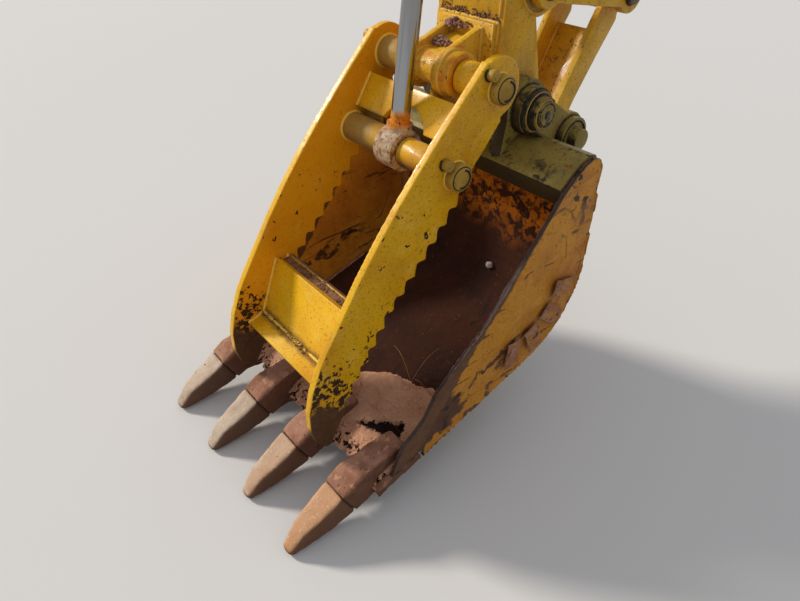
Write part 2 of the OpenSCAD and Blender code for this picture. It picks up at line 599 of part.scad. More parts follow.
// A place by its distance down the link from the rocker's pin and out to its front
function on_link(down, out) = link_pin + down * link_dir + out * link_front;
link_front_edge = 20;
link_side = [on_link(8, 40), on_link(60, link_front_edge), on_link(link_length - 40, link_front_edge),
    on_link(link_length, 40), on_link(link_length, -50), on_link(link_length - 112, -57),
    on_link(link_length - 250, -67), on_link(60, -80), on_link(8, -50)];
web_start = 112;
web_face = link_front_edge - link_web_depth;
link_web_t = 16;
module bucket_link() color("gold") parked() difference() {
    union() {
        both() {
            bar(link_pin, link_eye_r, link_eye_in, link_half);
            plate(link_side, link_plate_out - link_plate_t, link_plate_out);
        }
        bar(ear_link_pin, link_foot_r, -link_half, link_half);
        plate([on_link(web_start, web_face), on_link(link_length - 30, web_face),
            on_link(link_length - 30, web_face - link_web_t), on_link(web_start, web_face - link_web_t)],
            -link_plate_out + 1, link_plate_out - 1);
    }
    bar(link_pin, link_pin_d / 2 + running_clearance, -link_half - 1, link_half + 1);
    bar(ear_link_pin, link_pin_d / 2 + running_clearance, -link_half - 1, link_half + 1);
}
bucket_eye_half = 50;
neck_l = 40;
module cylinder_barrel(base, end, eye_r, eye_half, pin_d, r, length, bore_r) difference() {
    union() {
        bar(base, eye_r, -eye_half, eye_half);
        shaft(base, end, eye_half - 3, eye_r * 0.7, eye_r + neck_l);
        shaft(base, end, r, eye_r + neck_l, length);
    }
    bar(base, pin_d / 2 + running_clearance, -eye_half - 1, eye_half + 1);
    shaft(base, end, bore_r, eye_r + neck_l + 20, length + 1);
}
module cylinder_gland(base, end, r, rod_r, d0, d1) difference() {
    shaft(base, end, r, d0, d1);
    shaft(base, end, rod_r + running_clearance, d0 - 1, d1 + 1);
}
module cylinder_rod(base, end, eye_r, eye_half, pin_d, r, length, inside, bore_r) difference() {
    union() {
        bar(end, eye_r, -eye_half, eye_half);
        shaft(end, base, r, eye_r * 0.8, length + inside);
        shaft(end, base, r + 9, eye_r * 0.6, eye_r + 14);
        shaft(end, base, bore_r - running_clearance, length + inside - piston_l, length + inside);
    }
    bar(end, pin_d / 2 + running_clearance, -eye_half - 1, eye_half + 1);
}
gland_l = 60;
piston_l = 45;
bucket_bore_r = bucket_barrel_d / 2 - 12;
thumb_bore_r = thumb_barrel_d / 2 - 10;
bucket_cylinder_length = norm(link_pin - bucket_cylinder_pin);
module bucket_cylinder_barrel() color("gold") parked() cylinder_barrel(bucket_cylinder_pin, link_pin,
    60, bucket_eye_half, link_pin_d, bucket_barrel_d / 2, bucket_barrel_l - gland_l, bucket_bore_r);
module bucket_cylinder_gland() color("gold") parked() cylinder_gland(bucket_cylinder_pin, link_pin,
    bucket_barrel_d / 2 + 7, bucket_rod_d / 2, bucket_barrel_l - gland_l, bucket_barrel_l);
module bucket_cylinder_rod() color("silver") parked() cylinder_rod(bucket_cylinder_pin, link_pin,
    56, link_eye_in - side_gap, link_pin_d, bucket_rod_d / 2, bucket_cylinder_length - bucket_barrel_l, 160,
    bucket_bore_r);
module thumb_cylinder_barrel() color("gold") parked() cylinder_barrel(thumb_base_pin, thumb_rod_pin,
    48, thumb_ear_gap - 5, thumb_pin_d, thumb_barrel_d / 2, thumb_barrel_l - gland_l, thumb_bore_r);
module thumb_cylinder_gland() color("gold") parked() cylinder_gland(thumb_base_pin, thumb_rod_pin,
    thumb_barrel_d / 2 + 6, thumb_rod_d / 2, thumb_barrel_l - gland_l, thumb_barrel_l);
module thumb_cylinder_rod() color("silver") parked() cylinder_rod(thumb_base_pin, thumb_rod_pin,
    57, rod_eye_half, thumb_pin_d, thumb_rod_d / 2, thumb_cylinder_length - thumb_barrel_l, 150, thumb_bore_r);

stick_side_near();
stick_side_far();
stick_front_plate();
stick_back_plate();
stick_end_plate();
boom_boss();
nose_boss();
rocker_boss();
arm_cylinder_ears();
bucket_cylinder_ears();
thumb_bracket();
thumb_cylinder_ears();
base_pins();
bucket_side_near();
bucket_side_far();
bucket_wrapper();
bucket_top_box();
bucket_lip();
bucket_ear_near();
bucket_ear_far();
bucket_pins();
dust_seals();
tooth_adapters();
tooth(0);  // tooth_1
tooth(1);  // tooth_2
tooth(2);  // tooth_3
tooth(3);  // tooth_4
heel_shrouds();
wear_strips();
thumb_plate_near();
thumb_plate_far();
thumb_tubes();
thumb_cross_plate();
thumb_gussets();
thumb_cross_box();
thumb_pins();
rocker_near();
rocker_far();
rocker_pins();
bucket_link();
bucket_cylinder_barrel();
bucket_cylinder_gland();
bucket_cylinder_rod();
thumb_cylinder_barrel();
thumb_cylinder_gland();
thumb_cylinder_rod();
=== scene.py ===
"""Looks of an excavator's dipper arm with bucket and thumb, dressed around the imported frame."""
import json
import math
import random
import bmesh
import bpy
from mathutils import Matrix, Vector, noise


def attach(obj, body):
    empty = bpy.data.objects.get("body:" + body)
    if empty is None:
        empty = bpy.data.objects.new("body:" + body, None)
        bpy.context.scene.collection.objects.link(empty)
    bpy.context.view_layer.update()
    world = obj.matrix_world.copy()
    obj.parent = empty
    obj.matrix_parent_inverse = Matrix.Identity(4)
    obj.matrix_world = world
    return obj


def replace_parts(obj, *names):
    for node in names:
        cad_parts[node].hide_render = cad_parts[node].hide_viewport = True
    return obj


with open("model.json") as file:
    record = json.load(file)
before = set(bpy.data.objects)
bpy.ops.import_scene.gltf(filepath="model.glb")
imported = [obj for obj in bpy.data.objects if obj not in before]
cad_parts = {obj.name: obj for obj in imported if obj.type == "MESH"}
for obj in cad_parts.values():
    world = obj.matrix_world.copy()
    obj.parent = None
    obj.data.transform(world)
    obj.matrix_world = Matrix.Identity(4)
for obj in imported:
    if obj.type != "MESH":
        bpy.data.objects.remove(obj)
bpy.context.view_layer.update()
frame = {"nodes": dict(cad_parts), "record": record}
random.seed(7)
draw = random.uniform

# Places are measured as parked, from the teeth's tips on the ground; the frame's origin is the boom pin
PARKED = Vector((1.16128, 0, 3.18956))
ALONG_PINS, SKYWARDS = Vector((0, 1, 0)), Vector((0, 0, 1))


def spot(x, y, z):
    """A parked place, given in millimetres, in the frame's metres."""
    return Vector((x, y, z)) / 1000 - PARKED


FLOOR_Z = -PARKED.z
BOOM_PIN = Vector((0, 0, 0))
BUCKET_PIN, EAR_PIN = spot(1020, 0, 944), spot(1240.5, 0, 806.2)
ROCKER_PIN, LINK_PIN = spot(1073.5, 0, 1247.3), spot(1458.3, 0, 1183.9)
THUMB_PIN, ROD_PIN, THUMB_BASE = spot(820.3, 0, 1056.1), spot(684, 0, 865.9), spot(829.5, 0, 1956.2)
CYLINDER_BASE = spot(1480.2, 0, 2859.9)
HEEL = spot(785, 0, 530.3)
BUCKET_MIDDLE = spot(640, 0, 470)
ARM_UP, ARM_OUT = Vector((0.0628, 0, 0.998)), Vector((0.998, 0, -0.0628))
THUMB_DOWN, THUMB_BACK = Vector((-0.5454, 0, -0.8382)), Vector((-0.8382, 0, 0.5454))
FLOOR_DIR, FLOOR_UP = Vector((0.9613, 0, 0.2756)), Vector((-0.2756, 0, 0.9613))
LIP_EDGE, MOUTH_TOP = spot(268, 0, 70), spot(912, 0, 812)
MOUTH_IN = Vector((0.7890, 0, -0.6143))
LINK_DIR = (EAR_PIN - LINK_PIN).normalized()
LINK_FRONT = Vector((LINK_DIR.z, 0, -LINK_DIR.x))

# Half widths across the parts, in millimetres
STICK_Y, EAR_Y, PIN_END_Y, SIDE_IN = 122, 166, 240, 393
THUMB_IN, THUMB_OUT, PIN_BOSS = 204, 229, 255

# Tops of the bucket's lip and of the plate behind it, over the underside
LIP_TOP, FLOOR_TOP = 35, 17

# The arm's front plate: how far out it stands at its foot, where that is, and how it slopes out above
FRONT_OUT, FRONT_FOOT, FRONT_SLOPE = 96, 225, 0.03556

# Teeth: their places across, the height of a tip's middle over the ground and the slope of the middle line
TOOTH_Y = (-344, -114.7, 114.7, 344)
TIP_LIFT, TOOTH_RISE = 8.2, math.radians(24)


def on_thumb(s, o, y=0.0):
    """A place down the thumb from its pin, and off towards its back."""
    return THUMB_PIN + THUMB_DOWN * (s / 1000) + THUMB_BACK * (o / 1000) + ALONG_PINS * (y / 1000)


def on_arm(up, out, y=0.0):
    """A place up the arm from the bucket's pin, and out towards the link's side."""
    return BUCKET_PIN + ARM_UP * (up / 1000) + ARM_OUT * (out / 1000) + ALONG_PINS * (y / 1000)


def on_front(up, off, y=0.0):
    """A place on the arm's sloping front plate, and off it."""
    return on_arm(up, -FRONT_OUT - (up - FRONT_FOOT) * FRONT_SLOPE - off, y)


def on_floor(along, up, y=0.0):
    """A place along the bucket's floor from the lip's edge, and up from its underside."""
    return LIP_EDGE + FLOOR_DIR * (along / 1000) + FLOOR_UP * (up / 1000) + ALONG_PINS * (y / 1000)


def on_tooth(s, u, y=0.0):
    """A place up a tooth from its tip, and up from its middle line."""
    x = s * math.cos(TOOTH_RISE) - u * math.sin(TOOTH_RISE)
    return spot(x, y, TIP_LIFT + s * math.sin(TOOTH_RISE) + u * math.cos(TOOTH_RISE))


# A hole in the soil on the lip, which widens from its tip on its way across the bucket; the soil's colour
# paints shade into it
PIT_S, PIT_Y, PIT_LENGTH, PIT_SPREAD = 104, -191, 152, 0.22
PIT_TURN = (0.48, 0.877)
PIT = on_floor(PIT_S, 50, PIT_Y)
PIT_WAY = FLOOR_DIR * PIT_TURN[0] - ALONG_PINS * PIT_TURN[1]
PIT_SIDE = FLOOR_DIR * PIT_TURN[1] + ALONG_PINS * PIT_TURN[0]

# Camera, placed by the photograph's vanishing points
EYE = spot(-325, -1210, 1550)
HEADING, PITCH = math.radians(40.1), math.radians(-37.8)


def pointing(turn, rise):
    """A direction by its turn from the far side and its rise, in radians."""
    return Vector((math.sin(turn) * math.cos(rise), math.cos(turn) * math.cos(rise), math.sin(rise)))


def placed(name, data):
    """A new object in the scene."""
    o = bpy.data.objects.new(name, data)
    bpy.context.scene.collection.objects.link(o)
    return o


cam = placed("camera", bpy.data.cameras.new("camera"))
cam.location = EYE
cam.rotation_euler = pointing(HEADING, PITCH).to_track_quat("-Z", "Y").to_euler()
cam.data.lens, cam.data.sensor_width = 27.0, 36.0
cam.data.clip_start, cam.data.clip_end = 0.05, 100
bpy.context.scene.camera = cam


# Materials

def lin(*rgb):
    """An sRGB colour of 0 to 255 as linear light."""
    return tuple(v / 255 / 12.92 if v <= 10 else ((v / 255 + 0.055) / 1.055) ** 2.4 for v in rgb)


def tint(share, a, b):
    """A fixed colour between two others."""
    return tuple(x + (y - x) * share for x, y in zip(a, b))


class Shader:
    """A material made of layers; each length in it is in metres of the frame."""

    def __init__(self, name, colour, rough=0.5):
        self.mat = bpy.data.materials.new(name)
        self.mat.use_nodes = True
        self.tree = self.mat.node_tree
        self.bsdf = self.tree.nodes["Principled BSDF"]
        coord = self.node("ShaderNodeTexCoord")
        self.place, self.normal = coord.outputs["Object"], coord.outputs["Normal"]
        self.colour, self.rough, self.height, self.metal = colour, rough, 0.0, 0.0

    def node(self, kind, ins=None, **props):
        """A new node with its properties and inputs set."""
        n = self.tree.nodes.new(kind)
        for k, v in props.items():
            setattr(n, k, v)
        for k, v in (ins or {}).items():
            self.put(n.inputs[k], v)
        return n

    def put(self, socket, v):
        """Links a socket, or sets a number or colour on it."""
        if isinstance(v, bpy.types.NodeSocket):
            self.tree.links.new(v, socket)
        elif socket.type == "RGBA":
            socket.default_value = (*v[:3], 1)
        else:
            socket.default_value = v

    def calc(self, op, a, b=0.0, clamp=False):
        """One step of arithmetic."""
        return self.node("ShaderNodeMath", {0: a, 1: b}, operation=op, use_clamp=clamp).outputs[0]

    def vector(self, op, a, b, out=0):
        """One step with vectors; out is the result's place or name."""
        return self.node("ShaderNodeVectorMath", {0: a, 1: b}, operation=op).outputs[out]

    def ramp(self, x, lo, hi, a=0.0, b=1.0):
        """From a at lo to b at hi, smooth between them."""
        n = self.node("ShaderNodeMapRange", {0: x, 1: lo, 2: hi, 3: a, 4: b})
        n.interpolation_type = "SMOOTHSTEP"
        return n.outputs[0]

    def fade(self, x, lo, hi):
        """From 1 at lo to 0 at hi."""
        return self.ramp(x, lo, hi, 1, 0)

    def mix(self, share, a, b):
        """A colour between two others."""
        return self.node("ShaderNodeMix", {0: share, 6: a, 7: b}, data_type="RGBA").outputs[2]

    def mottle(self, scale, detail, a, b):
        """A colour that wanders between two others."""
        return self.mix(self.noise(scale, detail), a, b)

    def blend(self, share, a, b):
        """A number between two others."""
        return self.node("ShaderNodeMix", {0: share, 2: a, 3: b}, data_type="FLOAT").outputs[0]

    def both(self, *masks):
        """Where all of these masks are."""
        m = masks[0]
        for other in masks[1:]:
            m = self.calc("MULTIPLY", m, other)
        return m

    def either(self, mask, other):
        """Where one of two masks is."""
        return self.calc("MAXIMUM", mask, other)

    def less(self, mask, other):
        """The part of a mask that lies outside another."""
        return self.calc("MULTIPLY", mask, self.calc("SUBTRACT", 1.0, other))

    def noise(self, scale, detail=3.0, rough=0.55, stretch=(1, 1, 1), shift=0.0, bend=0.0):
        """Noise in the frame; each shift gives another part of it."""
        moved = self.node("ShaderNodeMapping", {"Vector": self.place, "Scale": stretch,
                                                "Location": (shift, shift * 1.7, shift * 0.6)}).outputs[0]
        return self.node("ShaderNodeTexNoise", {"Vector": moved, "Scale": scale, "Detail": detail,
                                                "Roughness": rough, "Distortion": bend}).outputs[0]

    def wander(self, x, reach, scale, detail=4):
        """A distance made uneven: up to reach more of it, by noise."""
        return self.calc("ADD", x, self.calc("MULTIPLY", self.noise(scale, detail), reach))

    def waver(self, reach, scale, detail, shift=0.0):
        """An uneven number round 0, to add to a distance."""
        level = self.calc("SUBTRACT", self.noise(scale, detail, shift=shift), 0.5)
        return self.calc("MULTIPLY", level, reach)

    def along(self, start, way):
        """Distance from start along way, in metres."""
        far = self.vector("DOT_PRODUCT", self.place, tuple(way), "Value")
        return self.calc("SUBTRACT", far, start.dot(way))

    def near(self, p, reach, soft):
        """1 round a place, fading out over soft beyond reach."""
        return self.fade(self.vector("DISTANCE", self.place, tuple(p), "Value"), reach, reach + soft)

    def axial(self, pin):
        """Distance from the line of a pin, in metres."""
        flat = self.vector("MULTIPLY", self.place, (1, 0, 1))
        return self.vector("DISTANCE", flat, (pin.x, 0, pin.z), "Value")

    def faces(self, way):
        """How far a face looks that way, from -1 to 1."""
        return self.vector("DOT_PRODUCT", self.normal, way, "Value")

    def outward(self, centre):
        """1 on faces that look away from a line along the pins."""
        flat = self.vector("MULTIPLY", self.vector("SUBTRACT", self.place, tuple(centre)), (1, 0, 1))
        return self.ramp(self.vector("DOT_PRODUCT", flat, self.normal, "Value"), 0.0, 0.02)

    def sideways(self):
        """1 on faces that look along the pins."""
        return self.ramp(self.calc("ABSOLUTE", self.faces((0, 1, 0))), 0.6, 0.9)

    def edge(self, reach):
        """1 on sharp edges, found by rounding them off."""
        rounded = self.node("ShaderNodeBevel", {"Radius": reach}, samples=4).outputs[0]
        true = self.node("ShaderNodeNewGeometry").outputs["Normal"]
        off = self.calc("SUBTRACT", 1.0, self.vector("DOT_PRODUCT", rounded, true, "Value"))
        return self.ramp(off, 0.04, 0.35)

    def hollow(self, reach):
        """1 in corners and under things that stand close."""
        open_sky = self.node("ShaderNodeAmbientOcclusion", {"Distance": reach}, samples=4).outputs["AO"]
        return self.fade(open_sky, 0.25, 0.75)

    def specks(self, scale, amount, soft=0.03, stretch=(1, 1, 1), shift=0.0, detail=4.0, bend=0.4):
        """Broken patches; amount, a number or a socket, runs from none at 0 to all at 1."""
        n = self.noise(scale, detail, 0.6, stretch, shift, bend)
        cut = self.calc("SUBTRACT", 0.80, self.calc("MULTIPLY", amount, 0.55))
        return self.calc("DIVIDE", self.calc("SUBTRACT", n, cut), soft, clamp=True)

    def lay(self, mask, colour=None, rough=None, height=None, metal=None):
        """A layer over what is there, where its mask is."""
        if colour is not None:
            self.colour = self.mix(mask, self.colour, colour)
        if rough is not None:
            self.rough = self.blend(mask, self.rough, rough)
        if metal is not None:
            self.metal = self.blend(mask, self.metal, metal)
        if height is not None:
            self.raise_by(self.calc("MULTIPLY", mask, height))

    def raise_by(self, height):
        """Adds to the height that the bump is made of."""
        self.height = self.calc("ADD", self.height, height)

    def grain(self, scale, height, detail=3, rough=0.55, shift=0.0):
        """Fine unevenness all over."""
        self.raise_by(self.calc("MULTIPLY", self.noise(scale, detail, rough, shift=shift), height))

    def done(self, coat=0.0, shine=0.25):
        """The finished material."""
        self.put(self.bsdf.inputs["Base Color"], self.colour)
        self.put(self.bsdf.inputs["Roughness"], self.rough)
        self.put(self.bsdf.inputs["Metallic"], self.metal)
        self.bsdf.inputs["Coat Weight"].default_value = coat
        self.bsdf.inputs["Specular IOR Level"].default_value = shine
        if isinstance(self.height, bpy.types.NodeSocket):
            bump = self.node("ShaderNodeBump", {"Height": self.height, "Strength": 1.0, "Distance": 1.0})
            self.put(self.bsdf.inputs["Normal"], bump.outputs[0])
        return self.mat


BLACK, DARK_RUST, RUST = lin(26, 20, 16), lin(66, 38, 22), lin(150, 78, 28)
DIRT, DUST = lin(112, 84, 62), lin(176, 148, 116)
YELLOW, DEEP_YELLOW, PALE_YELLOW = lin(244, 188, 20), lin(218, 154, 12), lin(252, 220, 104)


def paint(name, base, deep, pale, chips, grime, dust, edges=0.5, rough=0.42, waves=0.0006):
    """Worn machine paint: uneven, with a painted highlight along its edges, chipped to dark steel, darker in
    corners.
    """
    s = Shader(name, base, rough)
    s.lay(s.ramp(s.noise(5, 5, shift=3.1), 0.38, 0.72), deep)
    s.lay(s.both(s.ramp(s.noise(17, 6, shift=1.3), 0.50, 0.80), 0.35), pale)
    steep = s.fade(s.calc("ABSOLUTE", s.faces((0, 0, 1))), 0.3, 0.7)
    run = s.ramp(s.noise(30, 5, stretch=(1, 1, 0.10), shift=6.1), 0.52, 0.78)
    s.lay(s.both(run, steep, grime), tint(0.45, deep, DIRT), 0.6)
    s.lay(s.both(s.specks(230, 0.34, 0.05, shift=8.0, detail=2), 0.55), tint(0.7, base, DIRT), 0.65)
    smears = s.specks(22, grime, 0.25, stretch=(1, 1, 0.35), shift=5.2)
    s.lay(s.both(smears, 0.5), tint(0.4, deep, DIRT), 0.65)
    # Darker in corners and close under things, in patches, found by ambient occlusion.
    cornered = s.both(s.hollow(0.03), s.ramp(s.noise(45, 3), 0.25, 0.6), min(1.0, grime * 1.6))
    s.lay(cornered, DIRT, 0.8)
    if dust:
        s.lay(s.both(s.ramp(s.faces((0, 0, 1)), 0.2, 0.9), s.specks(60, dust, 0.25, shift=2.0)), DUST, 0.85)
    pits = s.both(s.specks(140, 0.36, 0.04, shift=9.7, detail=3), 0.7)
    s.lay(pits, tint(0.4, deep, BLACK), 0.7, -0.0002)
    rim = s.edge(0.005)
    # Pale yellow along the edges: a painted highlight.
    s.lay(s.both(rim, edges), pale, 0.5)
    amount = s.calc("ADD", chips, s.both(rim, chips + 0.04))
    chip = s.specks(85, amount, 0.02, shift=4.4)
    s.lay(s.specks(85, s.calc("ADD", amount, 0.03), 0.03, shift=4.4), tint(0.5, deep, RUST))
    s.lay(chip, s.mottle(120, 2, BLACK, DARK_RUST), 0.6, -0.0004)
    scratch = s.specks(60, chips * 0.9, 0.02, stretch=(0.16, 1, 1.4), shift=6.6, bend=0.0)
    s.lay(s.both(scratch, 0.5), tint(0.5, deep, BLACK), 0.55, -0.0002)
    s.grain(14, waves, 2, shift=7.0)
    s.grain(420, 0.00012, 2)
    return s


def arm_paint():
    """Yellow of the arm, dirty and pitted towards the bucket, rusty round the thumb's pin, with patches of
    painted shade on its sides.
    """
    s = paint("arm_paint", lin(234, 182, 38), lin(208, 152, 28), lin(244, 212, 112), 0.07, 0.36, 0.24)
    low = s.fade(s.along(BUCKET_PIN, ARM_UP), 0.10, 0.55)
    stains = s.specks(20, 0.52, 0.35, stretch=(1, 1, 0.4), shift=9.0)
    s.lay(s.both(low, stains, 0.7), tint(0.5, lin(168, 124, 54), DIRT), 0.75)
    hub = s.both(s.fade(s.axial(THUMB_PIN), 0.061, 0.080), s.specks(24, 0.62, 0.2, shift=4.7))
    s.lay(s.both(hub, 0.8), lin(206, 116, 30), 0.65)
    pits = s.both(low, s.ramp(s.faces((-1, 0, 0)), 0.5, 0.9), s.specks(64, 0.38, 0.05, shift=2.6))
    s.lay(pits, lin(128, 92, 62), 0.85, -0.0006)
    # Patches of darker yellow on the faces that look along the pins: painted shade.
    side_shade = s.specks(9, 0.55, 0.5, stretch=(1, 1, 0.4), shift=1.0)
    s.lay(s.both(s.sideways(), side_shade, 0.45), lin(150, 112, 52), 0.65)
    return s.done(0.03)


def thumb_paint():
    """Yellow of the thumb, worn to steel at its tips and along the saw's edge, with painted shade on the far
    plate's inner face and on the tubes' far half.
    """
    s = paint("thumb_paint", YELLOW, DEEP_YELLOW, PALE_YELLOW, 0.04, 0.16, 0.10, edges=0.7, rough=0.36,
              waves=0.0003)
    down = s.along(THUMB_PIN, THUMB_DOWN)
    across = s.along(BOOM_PIN, ALONG_PINS)
    flat = s.sideways()
    # The far plate's inner face is tinted orange: painted shade with its bounce light.
    far_inner_shade = s.both(s.ramp(across, 0.2, 0.206), s.ramp(s.faces((0, -1, 0)), 0.5, 0.9))
    s.lay(s.both(far_inner_shade, 0.6), lin(226, 142, 22))
    tip = s.both(s.ramp(down, 0.66, 0.90), flat)
    s.lay(s.both(tip, s.specks(26, 0.5, 0.3, shift=3.0), 0.7), tint(0.5, DEEP_YELLOW, lin(150, 80, 20)), 0.6)
    chip = s.specks(62, s.both(tip, 0.60), 0.03, shift=2.2)
    s.lay(chip, s.mottle(90, 3, BLACK, DARK_RUST), 0.55, -0.0006)
    spots = s.specks(36, s.both(flat, s.ramp(down, 0.16, 0.40), 0.285), 0.02, shift=7.3)
    s.lay(spots, s.mottle(90, 3, BLACK, DARK_RUST), 0.55, -0.0005)
    worn = s.wander(down, 0.14, 22)
    steel = s.mottle(60, 4, lin(58, 40, 28), lin(112, 78, 50))
    s.lay(s.both(s.ramp(worn, 0.99, 1.03), flat), steel, 0.5, -0.0004)
    s.lay(s.ramp(worn, 1.07, 1.11), steel, 0.5, -0.0004)
    gutter = s.fade(s.wander(s.axial(on_thumb(868, 57)), 0.03, 30), 0.022, 0.040)
    gutter_dirt = s.mottle(80, 3, lin(96, 68, 40), lin(150, 108, 44))
    s.lay(s.less(s.both(gutter, 0.85), flat), gutter_dirt, 0.85)
    front = s.fade(s.along(THUMB_PIN, THUMB_BACK), 0.03, 0.06)
    saw = s.both(s.less(front, flat), s.ramp(down, 0.18, 0.24))
    s.lay(saw, s.mottle(50, 4, lin(48, 34, 24), lin(120, 76, 34)), 0.6)
    # Olive on the far half of the tubes: painted shadow of the far plate, with dust.
    tubes = s.fade(s.calc("MINIMUM", s.axial(THUMB_PIN), s.axial(ROD_PIN)), 0.058, 0.072)
    far_half = s.ramp(across, 0.02, 0.12)
    tube_shadow_and_dust = s.mottle(40, 4, lin(166, 136, 78), lin(124, 100, 60))
    s.lay(s.less(s.both(tubes, far_half, 0.75), flat), tube_shadow_and_dust, 0.6)
    return s.done(0.06)


def bucket_paint():
    """Old yellow of the bucket's sides, bare at toe, mouth, belly and heel, with painted shade in its creases
    and folds.
    """
    s = paint("bucket_paint", lin(218, 150, 44), lin(186, 114, 34), lin(232, 180, 80), 0.20, 0.40, 0.20,
              rough=0.5, waves=0.003)
    rusty = s.specks(11, 0.46, 0.3, stretch=(1, 1, 1.6), shift=1.7)
    s.lay(s.both(rusty, 0.8), tint(0.4, lin(176, 104, 40), RUST), 0.7)
    # Dark dented creases: a dent, with painted shade along it.
    crease = s.specks(15, 0.33, 0.035, stretch=(0.3, 1, 1.6), shift=3.9, bend=1.6)
    s.lay(s.both(crease, 0.8), lin(88, 58, 38), 0.6, -0.0022)
    bare = s.mottle(50, 4, lin(84, 56, 38), lin(128, 90, 58))
    mouth = s.wander(s.along(MOUTH_TOP, MOUTH_IN), 0.030, 30)
    floor_s, floor_u = s.along(LIP_EDGE, FLOOR_DIR), s.along(LIP_EDGE, FLOOR_UP)
    uneven = s.waver(0.16, 16, 5)
    toe = s.both(s.fade(s.calc("ADD", floor_s, uneven), 0.33, 0.36),
                 s.ramp(s.calc("ADD", floor_u, uneven), 0.030, 0.045))
    off_streak = s.calc("ABSOLUTE", s.calc("ADD", floor_u, s.calc("ADD", uneven, -0.135)))
    streak = s.fade(off_streak, 0.012, 0.022)
    streak = s.both(streak, s.fade(floor_s, 0.62, 0.66), s.specks(26, 0.7, 0.1, shift=5.5))
    belly = s.ramp(floor_u, 0.08, 0.16, 0.42, 0.0)
    round_heel = s.both(s.ramp(s.axial(HEEL), 0.22, 0.30), s.ramp(floor_s, 0.5, 0.6), 0.36)
    s.lay(s.specks(13, s.either(belly, round_heel), 0.03, stretch=(1, 1, 1.3), shift=6.4), bare, 0.5, -0.0010)
    dark = s.either(toe, streak)
    s.lay(dark, s.mottle(50, 4, lin(66, 42, 31), lin(108, 70, 46)), 0.55, -0.0008)
    s.lay(s.both(dark, s.specks(17, 0.40, 0.06, shift=7.9)), lin(46, 34, 26), 0.5, -0.0004)
    s.lay(s.fade(mouth, 0.022, 0.030), bare, 0.5, -0.0005)
    mouth_edge = s.mottle(60, 3, lin(50, 38, 38), lin(90, 68, 60))
    s.lay(s.less(s.fade(mouth, 0.10, 0.14), s.sideways()), mouth_edge, 0.45)
    ring = s.calc("ADD", s.axial(HEEL), s.waver(0.10, 7, 3, shift=1.9))
    back = s.both(s.ramp(floor_s, 0.50, 0.62), s.sideways())
    outer = s.both(back, s.ramp(ring, 0.24, 0.29), s.specks(12, 0.62, 0.3, shift=2.9))
    s.lay(s.both(outer, 0.75), lin(178, 124, 84), 0.7)
    # Two dark dented folds round the heel: a dent, with painted shade along each.
    for place in (0.205, 0.262):
        fold = s.fade(s.calc("ABSOLUTE", s.calc("SUBTRACT", ring, place)), 0.0015, 0.006)
        broken = s.specks(9, 0.62, 0.2, shift=place * 30)
        s.lay(s.both(back, fold, broken), lin(112, 72, 40), 0.65, -0.004)
    top = s.near(MOUTH_TOP + Vector((0.10, 0, 0.03)), 0.45, 0.02)
    near_corner = s.near(MOUTH_TOP + Vector((0.12, -0.41, 0.02)), 0.07, 0.08)
    s.lay(s.both(top, s.specks(24, 0.42, 0.03, shift=9.3), near_corner), lin(30, 24, 20), 0.5)
    return s.done()


def ear_grease():
    """Olive, greasy paint of the bucket's ears and top box, black with grease round the pins, with painted
    shade on faces that look down.
    """
    s = paint("ear_grease", lin(150, 130, 58), lin(112, 96, 44), lin(182, 162, 92), 0.22, 0.55, 0.30,
              rough=0.5)
    s.lay(s.both(s.specks(8, 0.50, 0.4, shift=2.5), 0.6), lin(96, 80, 46), 0.6)
    wet = s.fade(s.wander(s.axial(BUCKET_PIN), 0.06, 26), 0.088, 0.108)
    s.lay(s.both(wet, s.specks(30, 0.50, 0.06, shift=7.7)), lin(38, 31, 24), 0.35, 0.0004)
    wet_link = s.fade(s.wander(s.axial(EAR_PIN), 0.06, 26), 0.085, 0.110)
    s.lay(s.both(wet_link, s.specks(34, 0.42, 0.06, shift=1.7)), lin(48, 40, 30), 0.4, 0.0004)
    round_pin = s.fade(s.axial(BUCKET_PIN), 0.16, 0.24)
    s.lay(s.both(round_pin, s.specks(40, 0.36, 0.1, shift=4.0)), lin(132, 72, 30), 0.7)
    joint = s.fade(s.wander(s.along(MOUTH_TOP, Vector((0.8885, 0, -0.4588))), 0.03, 24), 0.02, 0.05)
    # Faces that look down and forward are darkened as painted shade; along the joint the dark is grease, in
    # patches.
    low_face_shade = s.ramp(s.faces((-0.8885, 0, -0.4588)), 0.4, 0.8)
    dark = s.either(s.both(low_face_shade, 0.85), s.both(joint, s.specks(30, 0.5, 0.1, shift=3.3)))
    s.lay(dark, lin(44, 34, 26), 0.4)
    return s.done()


